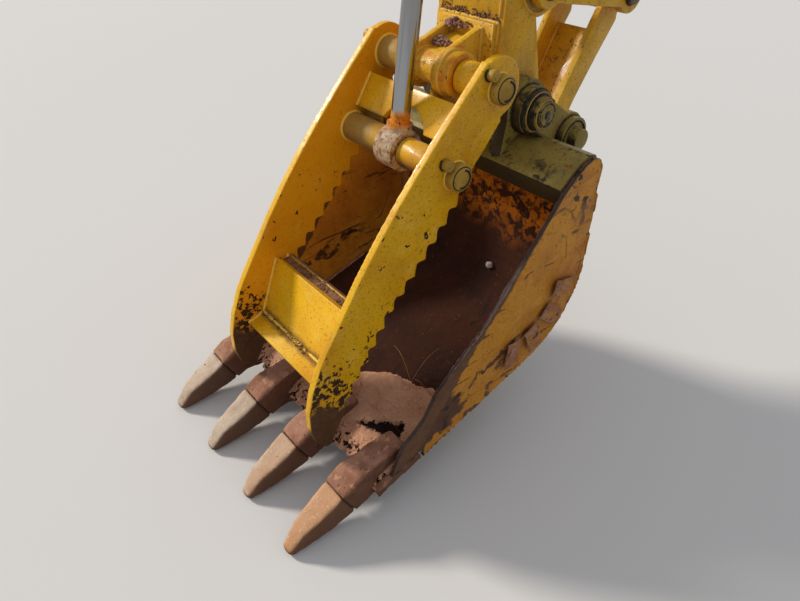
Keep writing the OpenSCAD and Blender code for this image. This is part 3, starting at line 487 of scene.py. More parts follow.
def inner_rust():
    """Rust inside the bucket, darkened further as painted shade, orange with old paint high up, and worn
    paint on the outside.
    """
    # The rust's colours are darker than its own, to stand for the shade inside the bucket: partly painted
    # shade.
    s = Shader("inner_rust", lin(70, 39, 26), 0.8)
    s.lay(s.ramp(s.noise(5, 4, shift=2.0), 0.35, 0.7), lin(50, 30, 23))
    s.lay(s.specks(34, 0.5, 0.3, shift=1.1), lin(80, 47, 30), 0.8, 0.0004)
    high = s.ramp(s.wander(s.along(spot(0, 0, 460), SKYWARDS), 0.12, 9, 3), 0.04, 0.22)
    s.lay(s.both(high, s.specks(30, 0.66, 0.10, shift=4.0)), lin(206, 116, 22), 0.85, 0.0006)
    s.lay(s.both(high, s.specks(60, 0.44, 0.05, shift=9.4)), lin(74, 40, 22), 0.8, 0.0004)
    top = s.ramp(s.wander(s.along(spot(0, 0, 655), SKYWARDS), 0.07, 12, 3), 0.03, 0.07)
    s.lay(s.both(top, s.specks(20, 0.85, 0.3, stretch=(1, 0.3, 1), shift=0.4)), lin(226, 120, 20), 0.8)
    s.lay(s.specks(150, 0.18, 0.05, shift=8.0, detail=2), lin(150, 112, 78), 0.8, 0.0004)
    s.lay(s.specks(22, 0.34, 0.1, stretch=(0.5, 1, 0.5), shift=6.0), lin(44, 27, 20), 0.6)
    s.grain(60, 0.0016, 4)
    outside = s.outward(BUCKET_MIDDLE)
    worn_paint = s.mix(s.ramp(s.noise(7, 5, shift=5.0), 0.35, 0.7), lin(214, 150, 44), lin(180, 112, 36))
    s.lay(outside, worn_paint, 0.6)
    low = s.ramp(s.along(LIP_EDGE, FLOOR_UP), 0.05, 0.40, 0.56, 0.34)
    bare = s.mottle(40, 4, lin(104, 72, 52), lin(150, 106, 78))
    s.lay(s.both(outside, s.specks(12, low, 0.04, stretch=(1, 0.5, 1), shift=2.4)), bare, 0.6)
    return s.done(shine=0.12)


def lip_rust():
    """Pinkish rust and dust of the lip and the teeth's adapters, with painted shade on steep faces."""
    s = Shader("lip_rust", lin(176, 130, 106), 0.8)
    s.lay(s.ramp(s.noise(14, 4, shift=2.0), 0.35, 0.65), lin(146, 100, 78))
    s.lay(s.specks(46, 0.46, 0.12, shift=1.0), lin(198, 148, 116), 0.85, 0.0004)
    s.lay(s.specks(90, 0.26, 0.03, shift=3.0), lin(92, 60, 44), 0.7, -0.0010)
    # Steep faces darkened: painted shade.
    steep = s.fade(s.faces((0, 0, 1)), 0.05, 0.50)
    s.lay(s.both(steep, 0.8), s.mottle(40, 3, lin(84, 58, 46), lin(118, 82, 62)), 0.7)
    s.grain(95, 0.0018, 4)
    return s.done(shine=0.12)


def tooth_steel():
    """Worn pale steel of the teeth, browner towards the near side, dark on their flanks with rust and painted
    shade.
    """
    s = Shader("tooth_steel", lin(198, 176, 152), 0.6)
    s.lay(s.ramp(s.noise(18, 4, shift=2.0), 0.35, 0.7), lin(176, 148, 122))
    nearer = s.ramp(s.along(BOOM_PIN, -ALONG_PINS), -0.02, 0.25)
    s.lay(s.both(nearer, 0.75), s.mix(s.noise(30, 4, shift=4.0), lin(204, 152, 104), lin(194, 124, 66)))
    # Flanks darkened: rust, with painted shade on top of it.
    steep = s.fade(s.faces((-0.3, 0, 0.95)), 0.35, 0.85)
    s.lay(s.both(steep, 0.9), s.mottle(26, 3, lin(78, 50, 38), lin(112, 72, 48)), 0.65)
    s.lay(s.less(s.specks(130, 0.36, 0.08, shift=1.0), steep), lin(216, 198, 172), 0.7, 0.0003)
    s.lay(s.specks(90, 0.24, 0.03, shift=3.0), lin(110, 78, 58), 0.6, -0.0006)
    s.grain(120, 0.0010, 4)
    return s.done(shine=0.3)


def heel_worn():
    """Heel shrouds: old paint scraped to rust and bare edges."""
    s = Shader("heel_worn", lin(196, 136, 52), 0.6)
    s.lay(s.specks(14, 0.74, 0.10, shift=1.0), lin(168, 116, 84), 0.75)
    s.lay(s.specks(30, 0.40, 0.05, shift=3.0), lin(92, 62, 44), 0.7, -0.0006)
    s.lay(s.both(s.edge(0.006), 0.6), lin(196, 150, 120), 0.6)
    s.grain(90, 0.0012, 4)
    return s.done()


def boss_paint():
    """Dull yellow of bosses and bolt heads."""
    return paint("boss_paint", lin(196, 156, 58), lin(160, 122, 44), lin(224, 190, 110), 0.16, 0.5, 0.25,
                 rough=0.45).done()


def pin_steel():
    """Greasy, slightly rusty steel of pins and bolts."""
    s = Shader("pin_steel", lin(92, 78, 58), 0.45)
    s.lay(s.specks(40, 0.5, 0.3), lin(50, 40, 30), 0.35)
    s.lay(s.specks(70, 0.4, 0.1, shift=3.0), lin(128, 96, 56), 0.7)
    s.lay(s.both(s.edge(0.004), 0.6), lin(150, 140, 124), 0.3, metal=0.8)
    s.grain(200, 0.0004)
    return s.done()


def seal_rubber():
    """Dusty black rubber of the seals."""
    s = Shader("seal_rubber", lin(40, 35, 28), 0.5)
    s.lay(s.specks(40, 0.62, 0.2), lin(104, 90, 56), 0.85)
    s.grain(300, 0.0003, 2)
    return s.done()


def rod_chrome():
    """Chrome of the rods; their eyes are scraped paint, with an orange neck above."""
    s = Shader("rod_chrome", (0.27, 0.27, 0.27), 0.12)
    s.metal = 1.0
    ends = s.calc("MINIMUM", s.axial(ROD_PIN), s.axial(LINK_PIN))
    eye = s.fade(ends, 0.090, 0.112)
    s.lay(s.specks(110, 0.16, 0.05, stretch=(1, 1, 0.3)), (0.5, 0.46, 0.38), 0.3)
    scraped = s.mix(s.specks(46, 0.62, 0.2, shift=2.0), lin(196, 172, 140), lin(134, 86, 48))
    s.lay(eye, scraped, 0.65, metal=0.0)
    neck = s.mix(s.specks(50, 0.5, 0.2), lin(216, 132, 26), lin(140, 72, 24))
    s.lay(s.both(s.ramp(ends, 0.058, 0.076), eye), neck, 0.6)
    s.lay(s.both(eye, s.specks(90, 0.36, 0.05, shift=5.0)), lin(84, 48, 26), 0.7, -0.0005)
    return s.done()


def soil():
    """Dried pinkish soil, fine at the back and crumbly towards the teeth, with painted shade in its hole."""
    s = Shader("soil", lin(228, 172, 136), 0.95)
    s.lay(s.ramp(s.noise(12, 4), 0.35, 0.7), lin(206, 146, 112))
    s.lay(s.specks(260, 0.46, 0.08, shift=1.0, detail=2), lin(236, 190, 156), 0.95, 0.0006)
    front = s.fade(s.along(LIP_EDGE, FLOOR_DIR), 0.04, 0.14)
    s.lay(s.specks(70, s.both(front, 0.50), 0.03, shift=3.0), lin(52, 34, 26), 0.95, -0.004)
    # Dark in the hole: painted shade.
    reach = s.calc("ADD", s.along(PIT, PIT_WAY), s.waver(0.04, 60, 4))
    side = s.calc("ABSOLUTE", s.calc("ADD", s.along(PIT, PIT_SIDE), s.waver(0.03, 80, 4)))
    inside = s.ramp(s.calc("SUBTRACT", s.both(reach, PIT_SPREAD), side), -0.001, 0.002)
    s.lay(s.both(inside, s.fade(reach, 0.150, 0.156)), lin(40, 27, 22), 0.95, -0.003)
    s.grain(150, 0.006, 5, 0.7)
    return s.done(shine=0.1)


def mud():
    """Brown dirt packed in corners."""
    s = Shader("mud", lin(142, 104, 72), 0.95)
    s.lay(s.ramp(s.noise(60, 4), 0.35, 0.65), lin(106, 74, 52))
    s.lay(s.specks(200, 0.4, 0.1, shift=1.0, detail=2), lin(166, 130, 104), 0.95)
    s.grain(170, 0.004, 4, 0.7)
    return s.done()


def clod_pink():
    """The pinkish clods that lie on the bracket."""
    s = Shader("clod_pink", lin(190, 150, 132), 0.95)
    s.lay(s.ramp(s.noise(110, 4), 0.40, 0.62), lin(134, 94, 80))
    s.grain(240, 0.004, 4, 0.7)
    return s.done()


def grease():
    """Black grease, dull where dust stuck to it."""
    s = Shader("grease", lin(30, 25, 20), 0.28)
    s.lay(s.specks(60, 0.46, 0.2), lin(66, 52, 36), 0.6)
    s.grain(140, 0.0020)
    return s.done()


def weld_metal(name, base, rough, scale, amount, worn, worn_rough, height):
    """Painted weld beads, worn in patches."""
    s = Shader(name, base, rough)
    s.lay(s.specks(scale, amount, 0.2), worn, worn_rough)
    s.grain(260, height)
    return s.done()


def stone():
    """Pale stones in the bucket."""
    s = Shader("stone", lin(214, 210, 200), 0.8)
    s.lay(s.noise(60, 4), lin(168, 158, 146))
    s.grain(120, 0.002, 4)
    return s.done()


def straw():
    """Dry straw."""
    s = Shader("straw", lin(166, 122, 70), 0.8)
    s.lay(s.noise(40, 2), lin(122, 82, 44))
    return s.done()


LOOKS = (arm_paint, thumb_paint, bucket_paint, ear_grease, inner_rust, lip_rust, tooth_steel, heel_worn,
         boss_paint, pin_steel, seal_rubber, rod_chrome, soil, mud, clod_pink, grease, stone, straw)
WELD_METAL = (("weld_arm", lin(228, 182, 74), 0.55, 90, 0.46, lin(170, 124, 52), 0.7, 0.0006),
              ("weld_thumb", lin(246, 206, 84), 0.5, 90, 0.42, lin(206, 144, 34), 0.65, 0.0006),
              ("weld_bucket", lin(150, 112, 60), 0.6, 60, 0.52, lin(92, 62, 40), 0.7, 0.0008))
MATS = {look.__name__: look() for look in LOOKS}
MATS.update({row[0]: weld_metal(*row) for row in WELD_METAL})
SLOT = {p["node"]: p["material_slot"] for p in frame["record"]["subparts"]}
BODY = {n: b for b, names in frame["record"]["behaviour"]["bodies"].items() for n in names}


# Pieces

def piece(name, bm, slot, body, smooth=True, closed=True):
    """An object of a finished bmesh, which rides on a body; closed forms get outward faces."""
    me = bpy.data.meshes.new(name)
    if closed:
        bmesh.ops.recalc_face_normals(bm, faces=bm.faces)
    bm.to_mesh(me)
    bm.free()
    for p in me.polygons:
        p.use_smooth = smooth
    me.materials.append(MATS[slot])
    o = placed(name, me)
    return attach(o, body)


def modify(o, kind, **props):
    """Adds a modifier with its properties set."""
    m = o.modifiers.new(kind.lower(), kind)
    for k, v in props.items():
        setattr(m, k, v)


def cad_mesh(node):
    """A CAD node's mesh, with the triangles of its flat faces joined."""
    bm = bmesh.new()
    bm.from_mesh(frame["nodes"][node].data)
    bmesh.ops.remove_doubles(bm, verts=bm.verts, dist=2e-5)
    bmesh.ops.dissolve_limit(bm, angle_limit=math.radians(0.6), verts=bm.verts, edges=bm.edges)
    return bm


def dress(node, width):
    """A CAD node with its hard edges rounded, as a piece that stands for it."""
    o = piece(node + "_skin", cad_mesh(node), SLOT[node], BODY[node])
    modify(o, "BEVEL", width=width, segments=2, limit_method="ANGLE", angle_limit=math.radians(28),
           harden_normals=True, use_clamp_overlap=True, miter_outer="MITER_ARC")
    if node == "base_pins":
        # Made a little slimmer, or else its facets meet those of the barrel's bore as that swings
        modify(o, "DISPLACE", mid_level=0, strength=-0.0003)
    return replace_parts(o, node)


def worn_down(o, voxel, rounding, waves):
    """Remeshes a piece, rounds it and dents it; waves are pairs of a depth and a size in metres."""
    modify(o, "REMESH", mode="VOXEL", voxel_size=voxel, use_smooth_shade=True)
    modify(o, "SMOOTH", factor=0.5, iterations=rounding)
    for depth, size in waves:
        clouds = bpy.data.textures.new("clouds_%g" % size, "CLOUDS")
        clouds.noise_scale, clouds.noise_depth = size, 3
        modify(o, "DISPLACE", texture=clouds, strength=depth, mid_level=1.0)


def tube(bm, path, radii, ref=ALONG_PINS, sides=8, closed=False):
    """A bar along a path, with a radius at each of its points."""
    n = len(path)
    rings = []
    for i, p in enumerate(path):
        a = path[i - 1] if i or closed else p
        b = path[(i + 1) % n] if i < n - 1 or closed else p
        u = (b - a).cross(ref).normalized()
        v = (b - a).normalized().cross(u)
        turns = [2 * math.pi * k / sides for k in range(sides)]
        rings.append([bm.verts.new(p + (u * math.cos(t) + v * math.sin(t)) * radii[i]) for t in turns])
    for a, b in zip(rings, rings[1:] + rings[:1] if closed else rings[1:]):
        for k in range(sides):
            bm.faces.new((a[k], a[(k + 1) % sides], b[(k + 1) % sides], b[k]))
    if not closed:
        bm.faces.new(rings[0])
        bm.faces.new(rings[-1])


def stepped(path, step, closed=False):
    """A path with points about a step apart."""
    ends = path + path[:1] if closed else path
    fine = []
    for a, b in zip(ends, ends[1:]):
        n = max(1, round((b - a).length / step))
        fine += [a.lerp(b, k / n) for k in range(n)]
    return fine if closed else fine + [path[-1]]


def circle(pin, r, y, start=0, end=360):
    """Points round a pin's line, at radius r and place y in millimetres; angles rise towards the sky."""
    n = max(6, int((end - start) / 8))
    last = n if end - start == 360 else n + 1
    turns = [math.radians(start + (end - start) * k / n) for k in range(last)]
    return [Vector((pin.x + r / 1000 * math.cos(t), y / 1000, pin.z + r / 1000 * math.sin(t))) for t in turns]


def mirrored(y):
    """Both places of a pair, the near one first."""
    return (-y, y)


def both_faces(pin, r, y):
    """Circles round a pin's line at both places of a pair."""
    return [circle(pin, r, side) for side in mirrored(y)]


def welds(name, paths, size, slot, body, rough=0.10, closed=False, ref=ALONG_PINS):
    """Rippled beads along paths, in one piece; size is their radius in millimetres."""
    bm = bmesh.new()
    for path in paths:
        fine = stepped(path, size * 0.0006, closed)
        swell = [0.84 + 0.16 * (i % 2) + draw(-rough, rough) for i in range(len(fine))]
        tube(bm, fine, [size / 1000 * share for share in swell], ref, 7, closed)
    return piece(name, bm, slot, body)


def stud(bm, p, axis, r, length, sides=20):
    """A round or, with few sides, hexagonal stud that stands on p; sizes in millimetres."""
    ref = SKYWARDS if abs(axis.y) > 0.5 else ALONG_PINS
    ends = [p, p + axis * (length - 1.2) / 1000, p + axis * length / 1000]
    tube(bm, ends, [r / 1000, r / 1000, (r - 1.2) / 1000], ref, sides)


def lump(bm, p, size, flat=0.7, rough=0.35):
    """A crumbly clod; size is its radius in millimetres."""
    seed = Vector((draw(0, 50), draw(0, 50), draw(0, 50)))
    made = bmesh.ops.create_icosphere(bm, subdivisions=3 if size > 9 else 2, radius=1)
    for v in made["verts"]:
        d = v.co.normalized()
        bulge = 1 + rough * (noise.noise(d * 1.6 + seed) + 0.6 * noise.noise(d * 4.5 + seed))
        v.co = p + Vector((d.x, d.y, d.z * flat)) * bulge * size / 1000


LEAST_DEPTH = -1.5


def heap(name, place, across, along, step, depth, slot, body):
    """Loose dirt over a face: place(a, b, up) is a point of it, depth(a, b) its depth in millimetres."""
    bm = bmesh.new()
    rows = []
    for i in range(int((across[1] - across[0]) / step) + 1):
        a = across[0] + i * step
        row = []
        for k in range(int((along[1] - along[0]) / step) + 1):
            b = along[0] + k * step
            h = depth(a, b)
            row.append((bm.verts.new(place(a, b, max(h, LEAST_DEPTH))), h))
        rows.append(row)
    for r, q in zip(rows, rows[1:]):
        for k in range(len(r) - 1):
            corners = (r[k], r[k + 1], q[k + 1], q[k])
            if max(h for v, h in corners) > LEAST_DEPTH:
                bm.faces.new([v for v, h in corners])
    bmesh.ops.delete(bm, geom=[v for v in bm.verts if not v.link_faces], context="VERTS")
    return piece(name, bm, slot, body, closed=False)


def ripple(a, b, size, seed=0.0):
    """Uneven height from about -1 to 1 over a face, with bumps of a size in millimetres."""
    p = Vector((a / size, b / size, seed))
    return noise.noise(p) + 0.5 * noise.noise(p * 2.3) + 0.25 * noise.noise(p * 5.1)


# CAD nodes: the worn ones as castings, each with a voxel size, a number of smoothings and its waves

TOOTH = 0.005, 22, ((-0.002, 0.05), (0.001, 0.012))
THUMB_PLATE = 0.0034, 5, ((0.0012, 0.05), (0.0004, 0.012))
DENTS = (0.010, 0.14), (0.003, 0.04)
CASTINGS = {"tooth_1": TOOTH, "tooth_2": TOOTH, "tooth_3": TOOTH, "tooth_4": TOOTH,
            "thumb_plate_near": THUMB_PLATE, "thumb_plate_far": THUMB_PLATE,
            "tooth_adapters": (0.005, 16, ((-0.006, 0.06), (0.002, 0.018))),
            "bucket_lip": (0.006, 4, ((0.008, 0.05), (0.004, 0.016))),
            "bucket_side_near": (0.005, 2, DENTS), "bucket_side_far": (0.006, 2, DENTS),
            "heel_shrouds": (0.004, 8, ((0.008, 0.05), (0.003, 0.015)))}
ROUNDING, STICK_ROUNDING = 0.003, 0.004
for name, o in frame["nodes"].items():
    o.data.materials.clear()
    o.data.materials.append(MATS[SLOT[name]])
for name in frame["nodes"]:
    if name in CASTINGS:
        slot = "heel_worn" if name == "heel_shrouds" else SLOT[name]
        casting = piece(name + "_cast", cad_mesh(name), slot, BODY[name])
        worn_down(casting, *CASTINGS[name])
        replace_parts(casting, name)
    else:
        dress(name, STICK_ROUNDING if name.startswith("stick_side") else ROUNDING)


# Behind each tooth: a dark block in the gap as painted shade, and the swollen front end of its adapter

def block(bm, y, sections):
    """A block round a tooth's middle line; a section is a place on it, a width, a low and a high edge."""
    rings = []
    for s, width, low, high in sections:
        corners = ((-width / 2, low), (width / 2, low), (width / 2, high), (-width / 2, high))
        rings.append([bm.verts.new(on_tooth(s, u, y + across)) for across, u in corners])
    for r, q in zip(rings, rings[1:]):
        for k in range(4):
            bm.faces.new((r[k], r[(k + 1) % 4], q[(k + 1) % 4], q[k]))
    bm.faces.new(rings[0])
    bm.faces.new(rings[-1])


gap_shade, collars = bmesh.new(), bmesh.new()
for y in TOOTH_Y:
    block(gap_shade, y, ((200, 74, -40, 40), (214, 74, -40, 40)))
    block(collars, y, ((207.5, 84, -48, 49), (250, 86, -52, 54), (300, 76, -50, 50), (330, 60, -50, 34)))
piece("tooth_gap_shade", gap_shade, "grease", "bucket")
worn_down(piece("adapter_collars", collars, "lip_rust", "bucket"), 0.005, 7, [(-0.004, 0.05)])


# Welds

tube_seams = both_faces(THUMB_PIN, 45, THUMB_IN - 1) + both_faces(ROD_PIN, 43, THUMB_IN - 1)
welds("weld_thumb_tubes", tube_seams, 5, "weld_thumb", "thumb", closed=True)
boss_seams = both_faces(THUMB_PIN, 38, THUMB_OUT) + both_faces(ROD_PIN, 38, THUMB_OUT)
welds("weld_pin_bosses", boss_seams, 3.5, "weld_thumb", "thumb", closed=True)
box_seams = []
for y in mirrored(THUMB_IN - 1):
    box_seams += [[on_thumb(686, 91, y), on_thumb(866, 56, y)], [on_thumb(872, 56, y), on_thumb(915, 93, y)],
                  [on_thumb(666, 52, y), on_thumb(798, 40, y)], [on_thumb(74, 30, y), on_thumb(176, 30, y)]]
welds("weld_cross_box", box_seams, 5, "weld_thumb", "thumb")
web_foot = [on_thumb(869, 55, y) for y in mirrored(THUMB_IN)]
welds("weld_web_foot", [web_foot], 5, "weld_thumb", "thumb", ref=SKYWARDS)
ear_seams = [[on_front(101, 20, y), on_front(203, 20, y)] for y in (-67, -45, 45, 67)]
welds("weld_bracket_ears", ear_seams, 6, "weld_arm", "arm")
base_seams = []
for low, high, y in ((95, 217, 106), (848, 1179, 102)):
    base_seams.append([on_front(up, 1, side) for up, side in ((low, -y), (low, y), (high, y), (high, -y))])
welds("weld_base_plates", base_seams, 6, "weld_arm", "arm", closed=True, ref=ARM_OUT)
hub_seams = both_faces(THUMB_PIN, 59, 67) + both_faces(THUMB_PIN, 45, 45)
welds("weld_bracket_hubs", hub_seams, 5, "weld_arm", "arm", closed=True)
arm_boss_seams = both_faces(BOOM_PIN, 93, STICK_Y) + both_faces(ROCKER_PIN, 73, STICK_Y)
welds("weld_arm_bosses", arm_boss_seams, 5, "weld_arm", "arm", closed=True)
long_seams = []
for y in mirrored(107):
    long_seams += [[on_front(1195, 1, y), on_front(2250, 1, y)], [on_front(232, 1, y), on_front(835, 1, y)]]
welds("weld_arm_front", long_seams, 4, "weld_arm", "arm")


def on_link(down, out, y):
    """A place down the link from its upper pin, and off its front, in metres."""
    return LINK_PIN + LINK_DIR * down - LINK_FRONT * out + ALONG_PINS * y


link_seams = [[on_link(0.116, 0.043, y), on_link(0.372, 0.043, y)] for y in mirrored(0.072)]
welds("weld_link", link_seams, 5, "weld_arm", "link")
crack = []
for k in range(17):
    s = 0.116 + k * 0.016
    crack.append(on_link(s, 0.0438, -0.044 + 0.004 * ripple(s * 400, 0, 30)))
welds("seam_link", [crack], 1.6, "grease", "link")
ear_feet = [[spot(942, y, 793), spot(1080, y, 793)] for y in (-EAR_Y - 1, -127, 127, EAR_Y + 1)]
welds("weld_bucket_ears", ear_feet, 6, "weld_bucket", "bucket")
side_seams = []
for low, high, top in ((60, 172, LIP_TOP + 1), (180, 600, FLOOR_TOP)):
    side_seams += [[on_floor(low, top, y), on_floor(high, top, y)] for y in mirrored(SIDE_IN - 1)]
welds("weld_bucket_sides", side_seams, 6, "lip_rust", "bucket", rough=0.25)
lip_seam = [on_floor(176, FLOOR_TOP + 1, y) for y in mirrored(SIDE_IN)]
welds("weld_lip", [lip_seam], 8, "inner_rust", "bucket", rough=0.25, ref=SKYWARDS)


# Pins: retaining rings, lock bolts, greasy stacks of rings

BOLT_TURN = math.radians(132)
BOLT_WAY = Vector((math.cos(BOLT_TURN), 0, math.sin(BOLT_TURN)))
for name, pin in (("pivot", THUMB_PIN), ("rod", ROD_PIN)):
    bolt = pin + BOLT_WAY * 0.058
    snaps = [circle(pin, 23.5, y, -115, 80) for y in mirrored(259)]
    welds("snap_ring_" + name, snaps, 3.2, "grease", "thumb", rough=0.2)
    # A dark partial ring round each lock bolt's left and lower side: painted shadow.
    welds("bolt_shadow_" + name, [circle(bolt, 16, y, 130, 350) for y in mirrored(231)], 3, "grease", "thumb")
    welds("pin_rim_" + name, both_faces(pin, 31, PIN_BOSS), 1.6, "grease", "thumb", closed=True)
    bm = bmesh.new()
    for y in mirrored(251):
        stud(bm, bolt + ALONG_PINS * y / 1000, ALONG_PINS * (y / 251), 9, 2.5, 6)
    piece("bolt_head_" + name, bm, "boss_paint", "thumb", smooth=False)
rings = []
for pin, stack in ((BUCKET_PIN, ((67, 168), (61, 199), (46, 213), (31, 239))),
                   (EAR_PIN, ((63, 168), (51, 191), (30, 209)))):
    for r, y in stack:
        rings += both_faces(pin, r, y)
welds("greasy_rings", rings, 2.6, "grease", "bucket", rough=0.55, closed=True)
pale = both_faces(BUCKET_PIN, 38, 232) + both_faces(BUCKET_PIN, 54, 209)
welds("pale_rings", pale, 2.4, "boss_paint", "bucket", closed=True)
# A dark disc on each end of the bucket's pin stands for its centre hole: painted shade.
bm = bmesh.new()
for y in mirrored(PIN_END_Y):
    stud(bm, BUCKET_PIN + ALONG_PINS * y / 1000, ALONG_PINS * (y / PIN_END_Y), 12, 1.4)
piece("pin_hole_shades", bm, "grease", "bucket")
GREASY_PINS = (("rocker", "rocker", ROCKER_PIN, 34, 159), ("link", "rocker", LINK_PIN, 34, 159),
               ("cylinder", "arm", CYLINDER_BASE, 34, 87), ("thumb", "arm", THUMB_BASE, 31, 63))
for name, body, pin, r, y in GREASY_PINS:
    welds("greasy_pin_" + name, both_faces(pin, r, y), 2.6, "grease", body, rough=0.35, closed=True)


# Hydraulic cylinders: port blocks, steel pipes, clamps and gland bolts

def cylinder_fittings(name, base, end, radius, length, gland_r, body, side, first):
    """Fittings on a barrel's port side; the first port's place is in metres, sizes in millimetres."""
    way = (end - base).normalized()
    over = way.cross(side)
    off = side * radius / 1000
    full = length / 1000
    last = full - 0.085
    bm = bmesh.new()
    for s in (first, last):
        stud(bm, base + way * s + side * (radius - 3) / 1000, side, 19, 20)
        stud(bm, base + way * s + side * (radius + 16) / 1000, side, 15, 12, 6)
    piece(name + "_ports", bm, "arm_paint", body, smooth=False)
    bm = bmesh.new()
    low, high = base + way * (first + 0.035) + off * 1.28, base + way * last + off * 1.28
    turn = [high - way * 0.05, high - way * 0.02 + side * 0.004, high + side * 0.010]
    tube(bm, [low + side * 0.004, low + way * 0.02] + turn, [0.008] * 5, over, 12)
    piece(name + "_pipe", bm, "arm_paint", body)
    bm = bmesh.new()
    for share in (0.35, 0.72):
        p = base + way * (full * share)
        turns = [math.radians(k * 10) for k in range(36)]
        hoop = [p + (side * math.cos(t) + over * math.sin(t)) * (radius + 1.5) / 1000 for t in turns]
        tube(bm, hoop, [0.004] * 36, way, 6, closed=True)
        stud(bm, p + off * 0.98, side, 14, 14, 6)
    piece(name + "_clamps", bm, "arm_paint", body)
    bm = bmesh.new()
    face = base + way * (full - 0.002)
    for k in range(8):
        t = math.radians(22.5 + k * 45)
        stud(bm, face + (side * math.cos(t) + over * math.sin(t)) * (gland_r - 11) / 1000, way, 6, 8, 6)
    piece(name + "_bolts", bm, "pin_steel", body, smooth=False)


THUMB_PORTS = Vector((-0.9912, 0, 0.1323))
cylinder_fittings("bucket_cylinder", CYLINDER_BASE, LINK_PIN, 62, 1255, 69, "bucket_barrel", -ALONG_PINS,
                  0.135)
cylinder_fittings("thumb_cylinder", THUMB_BASE, ROD_PIN, 49, 655, 55, "thumb_barrel", THUMB_PORTS, 0.075)


# Dirt

LIP_BACK = 175
SOIL_ENDS = [(-400, 350), (-273, 342), (-120, 300), (-37, 232), (60, 214), (200, 262), (400, 300)]


def soil_end(y):
    """How far the soil reaches back from the lip's edge, in millimetres."""
    for (a, low), (b, high) in zip(SOIL_ENDS, SOIL_ENDS[1:]):
        if y <= b:
            return low + (high - low) * (y - a) / (b - a)


def soil_depth(y, s):
    """Depth of the soil over the lip and the floor, with the hole in it."""
    edge = min(1.0, (SIDE_IN + 4 - abs(y)) / 40)
    rise = min(1.0, (s - 14) / 50)
    back = min(1.0, (soil_end(y) + 12 * ripple(y, 0, 60, 2.0) - s) / 26)
    base = 26 if s > LIP_BACK else 12
    depth = base * rise * max(back, -0.4) * (0.5 + 0.5 * edge)
    depth += 4 * ripple(y, s, 60) + 2.5 * ripple(y, s, 17, 3.0)
    way = (s - PIT_S) * PIT_TURN[0] - (y - PIT_Y) * PIT_TURN[1]
    side = abs((s - PIT_S) * PIT_TURN[1] + (y - PIT_Y) * PIT_TURN[0]) + 7 * ripple(y, s, 24, 6.0)
    if 0 < way < PIT_LENGTH and side < PIT_SPREAD * way:
        depth = min(depth, 2 + ripple(y, s, 12))
    return depth - 2


def on_soil(y, s, up):
    """A place over the lip or the floor behind it."""
    return on_floor(s, (LIP_TOP if s < LIP_BACK else FLOOR_TOP) + up, y)


heap("soil_on_lip", on_soil, (-391, 391), (14, 372), 4.5, soil_depth, "soil", "bucket")
bm = bmesh.new()
for k in range(420):
    y, s = draw(-380, 380), 20 + 330 * random.random() ** 1.7
    if s < soil_end(y):
        lump(bm, on_soil(y, s, soil_depth(y, s) + 0.5), 1.5 + 5.5 * random.random() ** 3, 0.8, 0.3)
piece("crumbs_on_soil", bm, "soil", "bucket")


def in_pocket(y, b, up):
    """A place in the pocket of the thumb's cross box."""
    return on_thumb(689 - 0.80 * b - 0.6 * up, 62 - 0.60 * b + 0.8 * up, y)


def pocket_depth(y, b):
    """Depth of the dirt in the pocket."""
    return 2.0 + 3 * ripple(y, b, 22)


heap("dirt_in_pocket", in_pocket, (-203, 203), (0, 30), 3, pocket_depth, "mud", "thumb")
bm = bmesh.new()
for k in range(60):
    p = on_thumb(draw(860, 878), 60 + draw(0, 5), draw(-60, 200))
    lump(bm, p, draw(1.5, 3.2))
    p = in_pocket(draw(-195, 195), draw(3, 26), 3)
    lump(bm, p, draw(1.5, 4.5))
piece("dirt_in_thumb", bm, "mud", "thumb")


def on_band(y, b, up):
    """A place over the dirt's band on the arm's front, above the bracket."""
    return on_front(213 + b, up, y)


def band_depth(y, b):
    """Depth of the dirt in the band."""
    return 5 * (1 - abs(b - 8) / 14) + 5 * ripple(y, b, 30) - 3


heap("dirt_on_arm", on_band, (-112, 112), (0, 27), 4, band_depth, "mud", "arm")
bm = bmesh.new()
for k in range(90):
    b = draw(0, 26)
    lump(bm, on_band(draw(-108, 108), b, 4 * (1 - b / 26)), draw(1.4, 4.4))
for k in range(16):
    lump(bm, on_front(draw(196, 212), 20, draw(-44, 44)), draw(1.5, 4.5))
piece("crumbs_on_arm", bm, "mud", "arm")
bm = bmesh.new()
for centre, reach, count in ((on_front(193, 27, 25), 25, 70), (spot(859, 19, 1108), 22, 50)):
    for k in range(count):
        a, far = draw(0, 2 * math.pi), math.sqrt(random.random())
        rise = draw(-2, 20 * (1 - far * far))
        p = centre + Vector((0.7 * reach * far * math.cos(a), 1.4 * reach * far * math.sin(a), rise)) / 1000
        lump(bm, p, draw(3.5, 7), 0.8, 0.5)
piece("clods_on_bracket", bm, "clod_pink", "arm")
bm = bmesh.new()
lump(bm, spot(1017, -97, 376), 13, 0.8, 0.4)
lump(bm, spot(1022, -90, 366), 8, 0.8, 0.4)
piece("stones_in_bucket", bm, "stone", "bucket")
bm = bmesh.new()
for root, tip, sag in (((572, -205, 186), (698, -198, 246), 22), ((568, -200, 186), (612, -66, 216), 26),
                       ((580, -210, 188), (560, -300, 204), 12)):
    a, b = spot(*root), spot(*tip)
    path = [a.lerp(b, k / 12) + SKYWARDS * (sag / 1000 * math.sin(math.pi * k / 12)) for k in range(13)]
    tube(bm, path, [0.0011 - 0.00004 * k for k in range(13)], Vector((0.3, 0.4, 0.9)), 5)
piece("straws", bm, "straw", "bucket")


# Stage

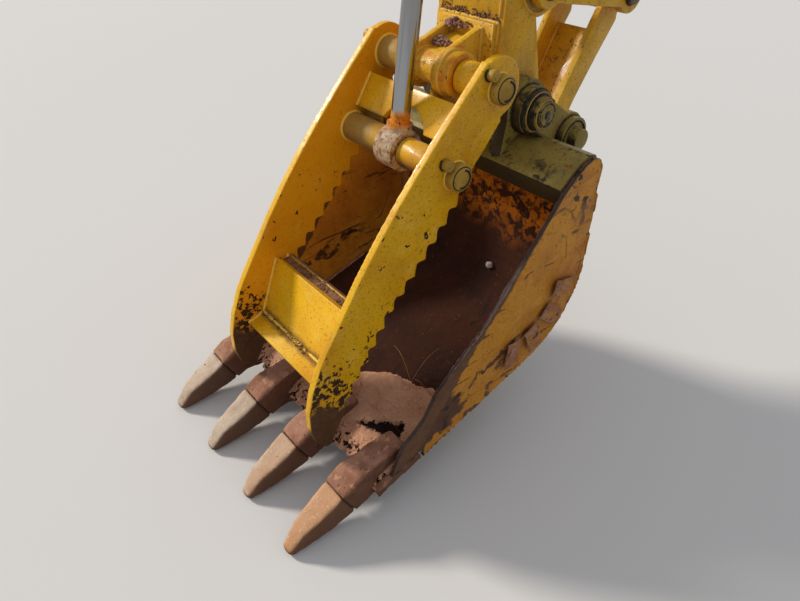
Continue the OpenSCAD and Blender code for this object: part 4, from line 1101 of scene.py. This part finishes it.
FLOOR_HALF = 30
corners = [(x * FLOOR_HALF, y * FLOOR_HALF, 0) for x, y in ((-1, -1), (1, -1), (1, 1), (-1, 1))]
me = bpy.data.meshes.new("floor")
me.from_pydata(corners, [], [(0, 1, 2, 3)])
floor = placed("floor", me)
floor.location = (0, 0, FLOOR_Z)


def seen_colour(tree, shown, other, socket):
    """One colour where camera, mirrors and glass see a thing, and another for its light on others."""
    rays = tree.nodes.new("ShaderNodeLightPath")
    seen = rays.outputs["Is Camera Ray"]
    for kind in ("Is Glossy Ray", "Is Transmission Ray"):
        either = tree.nodes.new("ShaderNodeMath")
        either.operation = "MAXIMUM"
        tree.links.new(seen, either.inputs[0])
        tree.links.new(rays.outputs[kind], either.inputs[1])
        seen = either.outputs[0]
    mix = tree.nodes.new("ShaderNodeMix")
    mix.data_type = "RGBA"
    tree.links.new(seen, mix.inputs[0])
    mix.inputs[6].default_value = (*other, 1)
    mix.inputs[7].default_value = (*shown, 1)
    tree.links.new(mix.outputs[2], socket)


ground = bpy.data.materials.new("ground")
ground.use_nodes = True
bsdf = ground.node_tree.nodes["Principled BSDF"]
bsdf.inputs["Roughness"].default_value = 0.95
seen_colour(ground.node_tree, (0.74, 0.72, 0.69), (0.34, 0.29, 0.24), bsdf.inputs["Base Color"])
me.materials.append(ground)

# A low soft lamp from the far side, where the sun stands in the photograph
SUN_TURN, SUN_RISE = math.radians(-22), math.radians(29)
sun_data = bpy.data.lights.new("sun", "SUN")
sun_data.energy, sun_data.angle, sun_data.color = 2.9, math.radians(9), (1.0, 0.95, 0.87)
sun = placed("sun", sun_data)
sun.rotation_euler = pointing(SUN_TURN, SUN_RISE).to_track_quat("Z", "Y").to_euler()
world = bpy.data.worlds.new("world")
bpy.context.scene.world = world
world.use_nodes = True
sky = world.node_tree.nodes["Background"]
sky.inputs["Strength"].default_value = 1.0
seen_colour(world.node_tree, (0.85, 0.87, 0.90), (0.44, 0.46, 0.50), sky.inputs["Color"])
bpy.context.scene.view_settings.view_transform = "Standard"
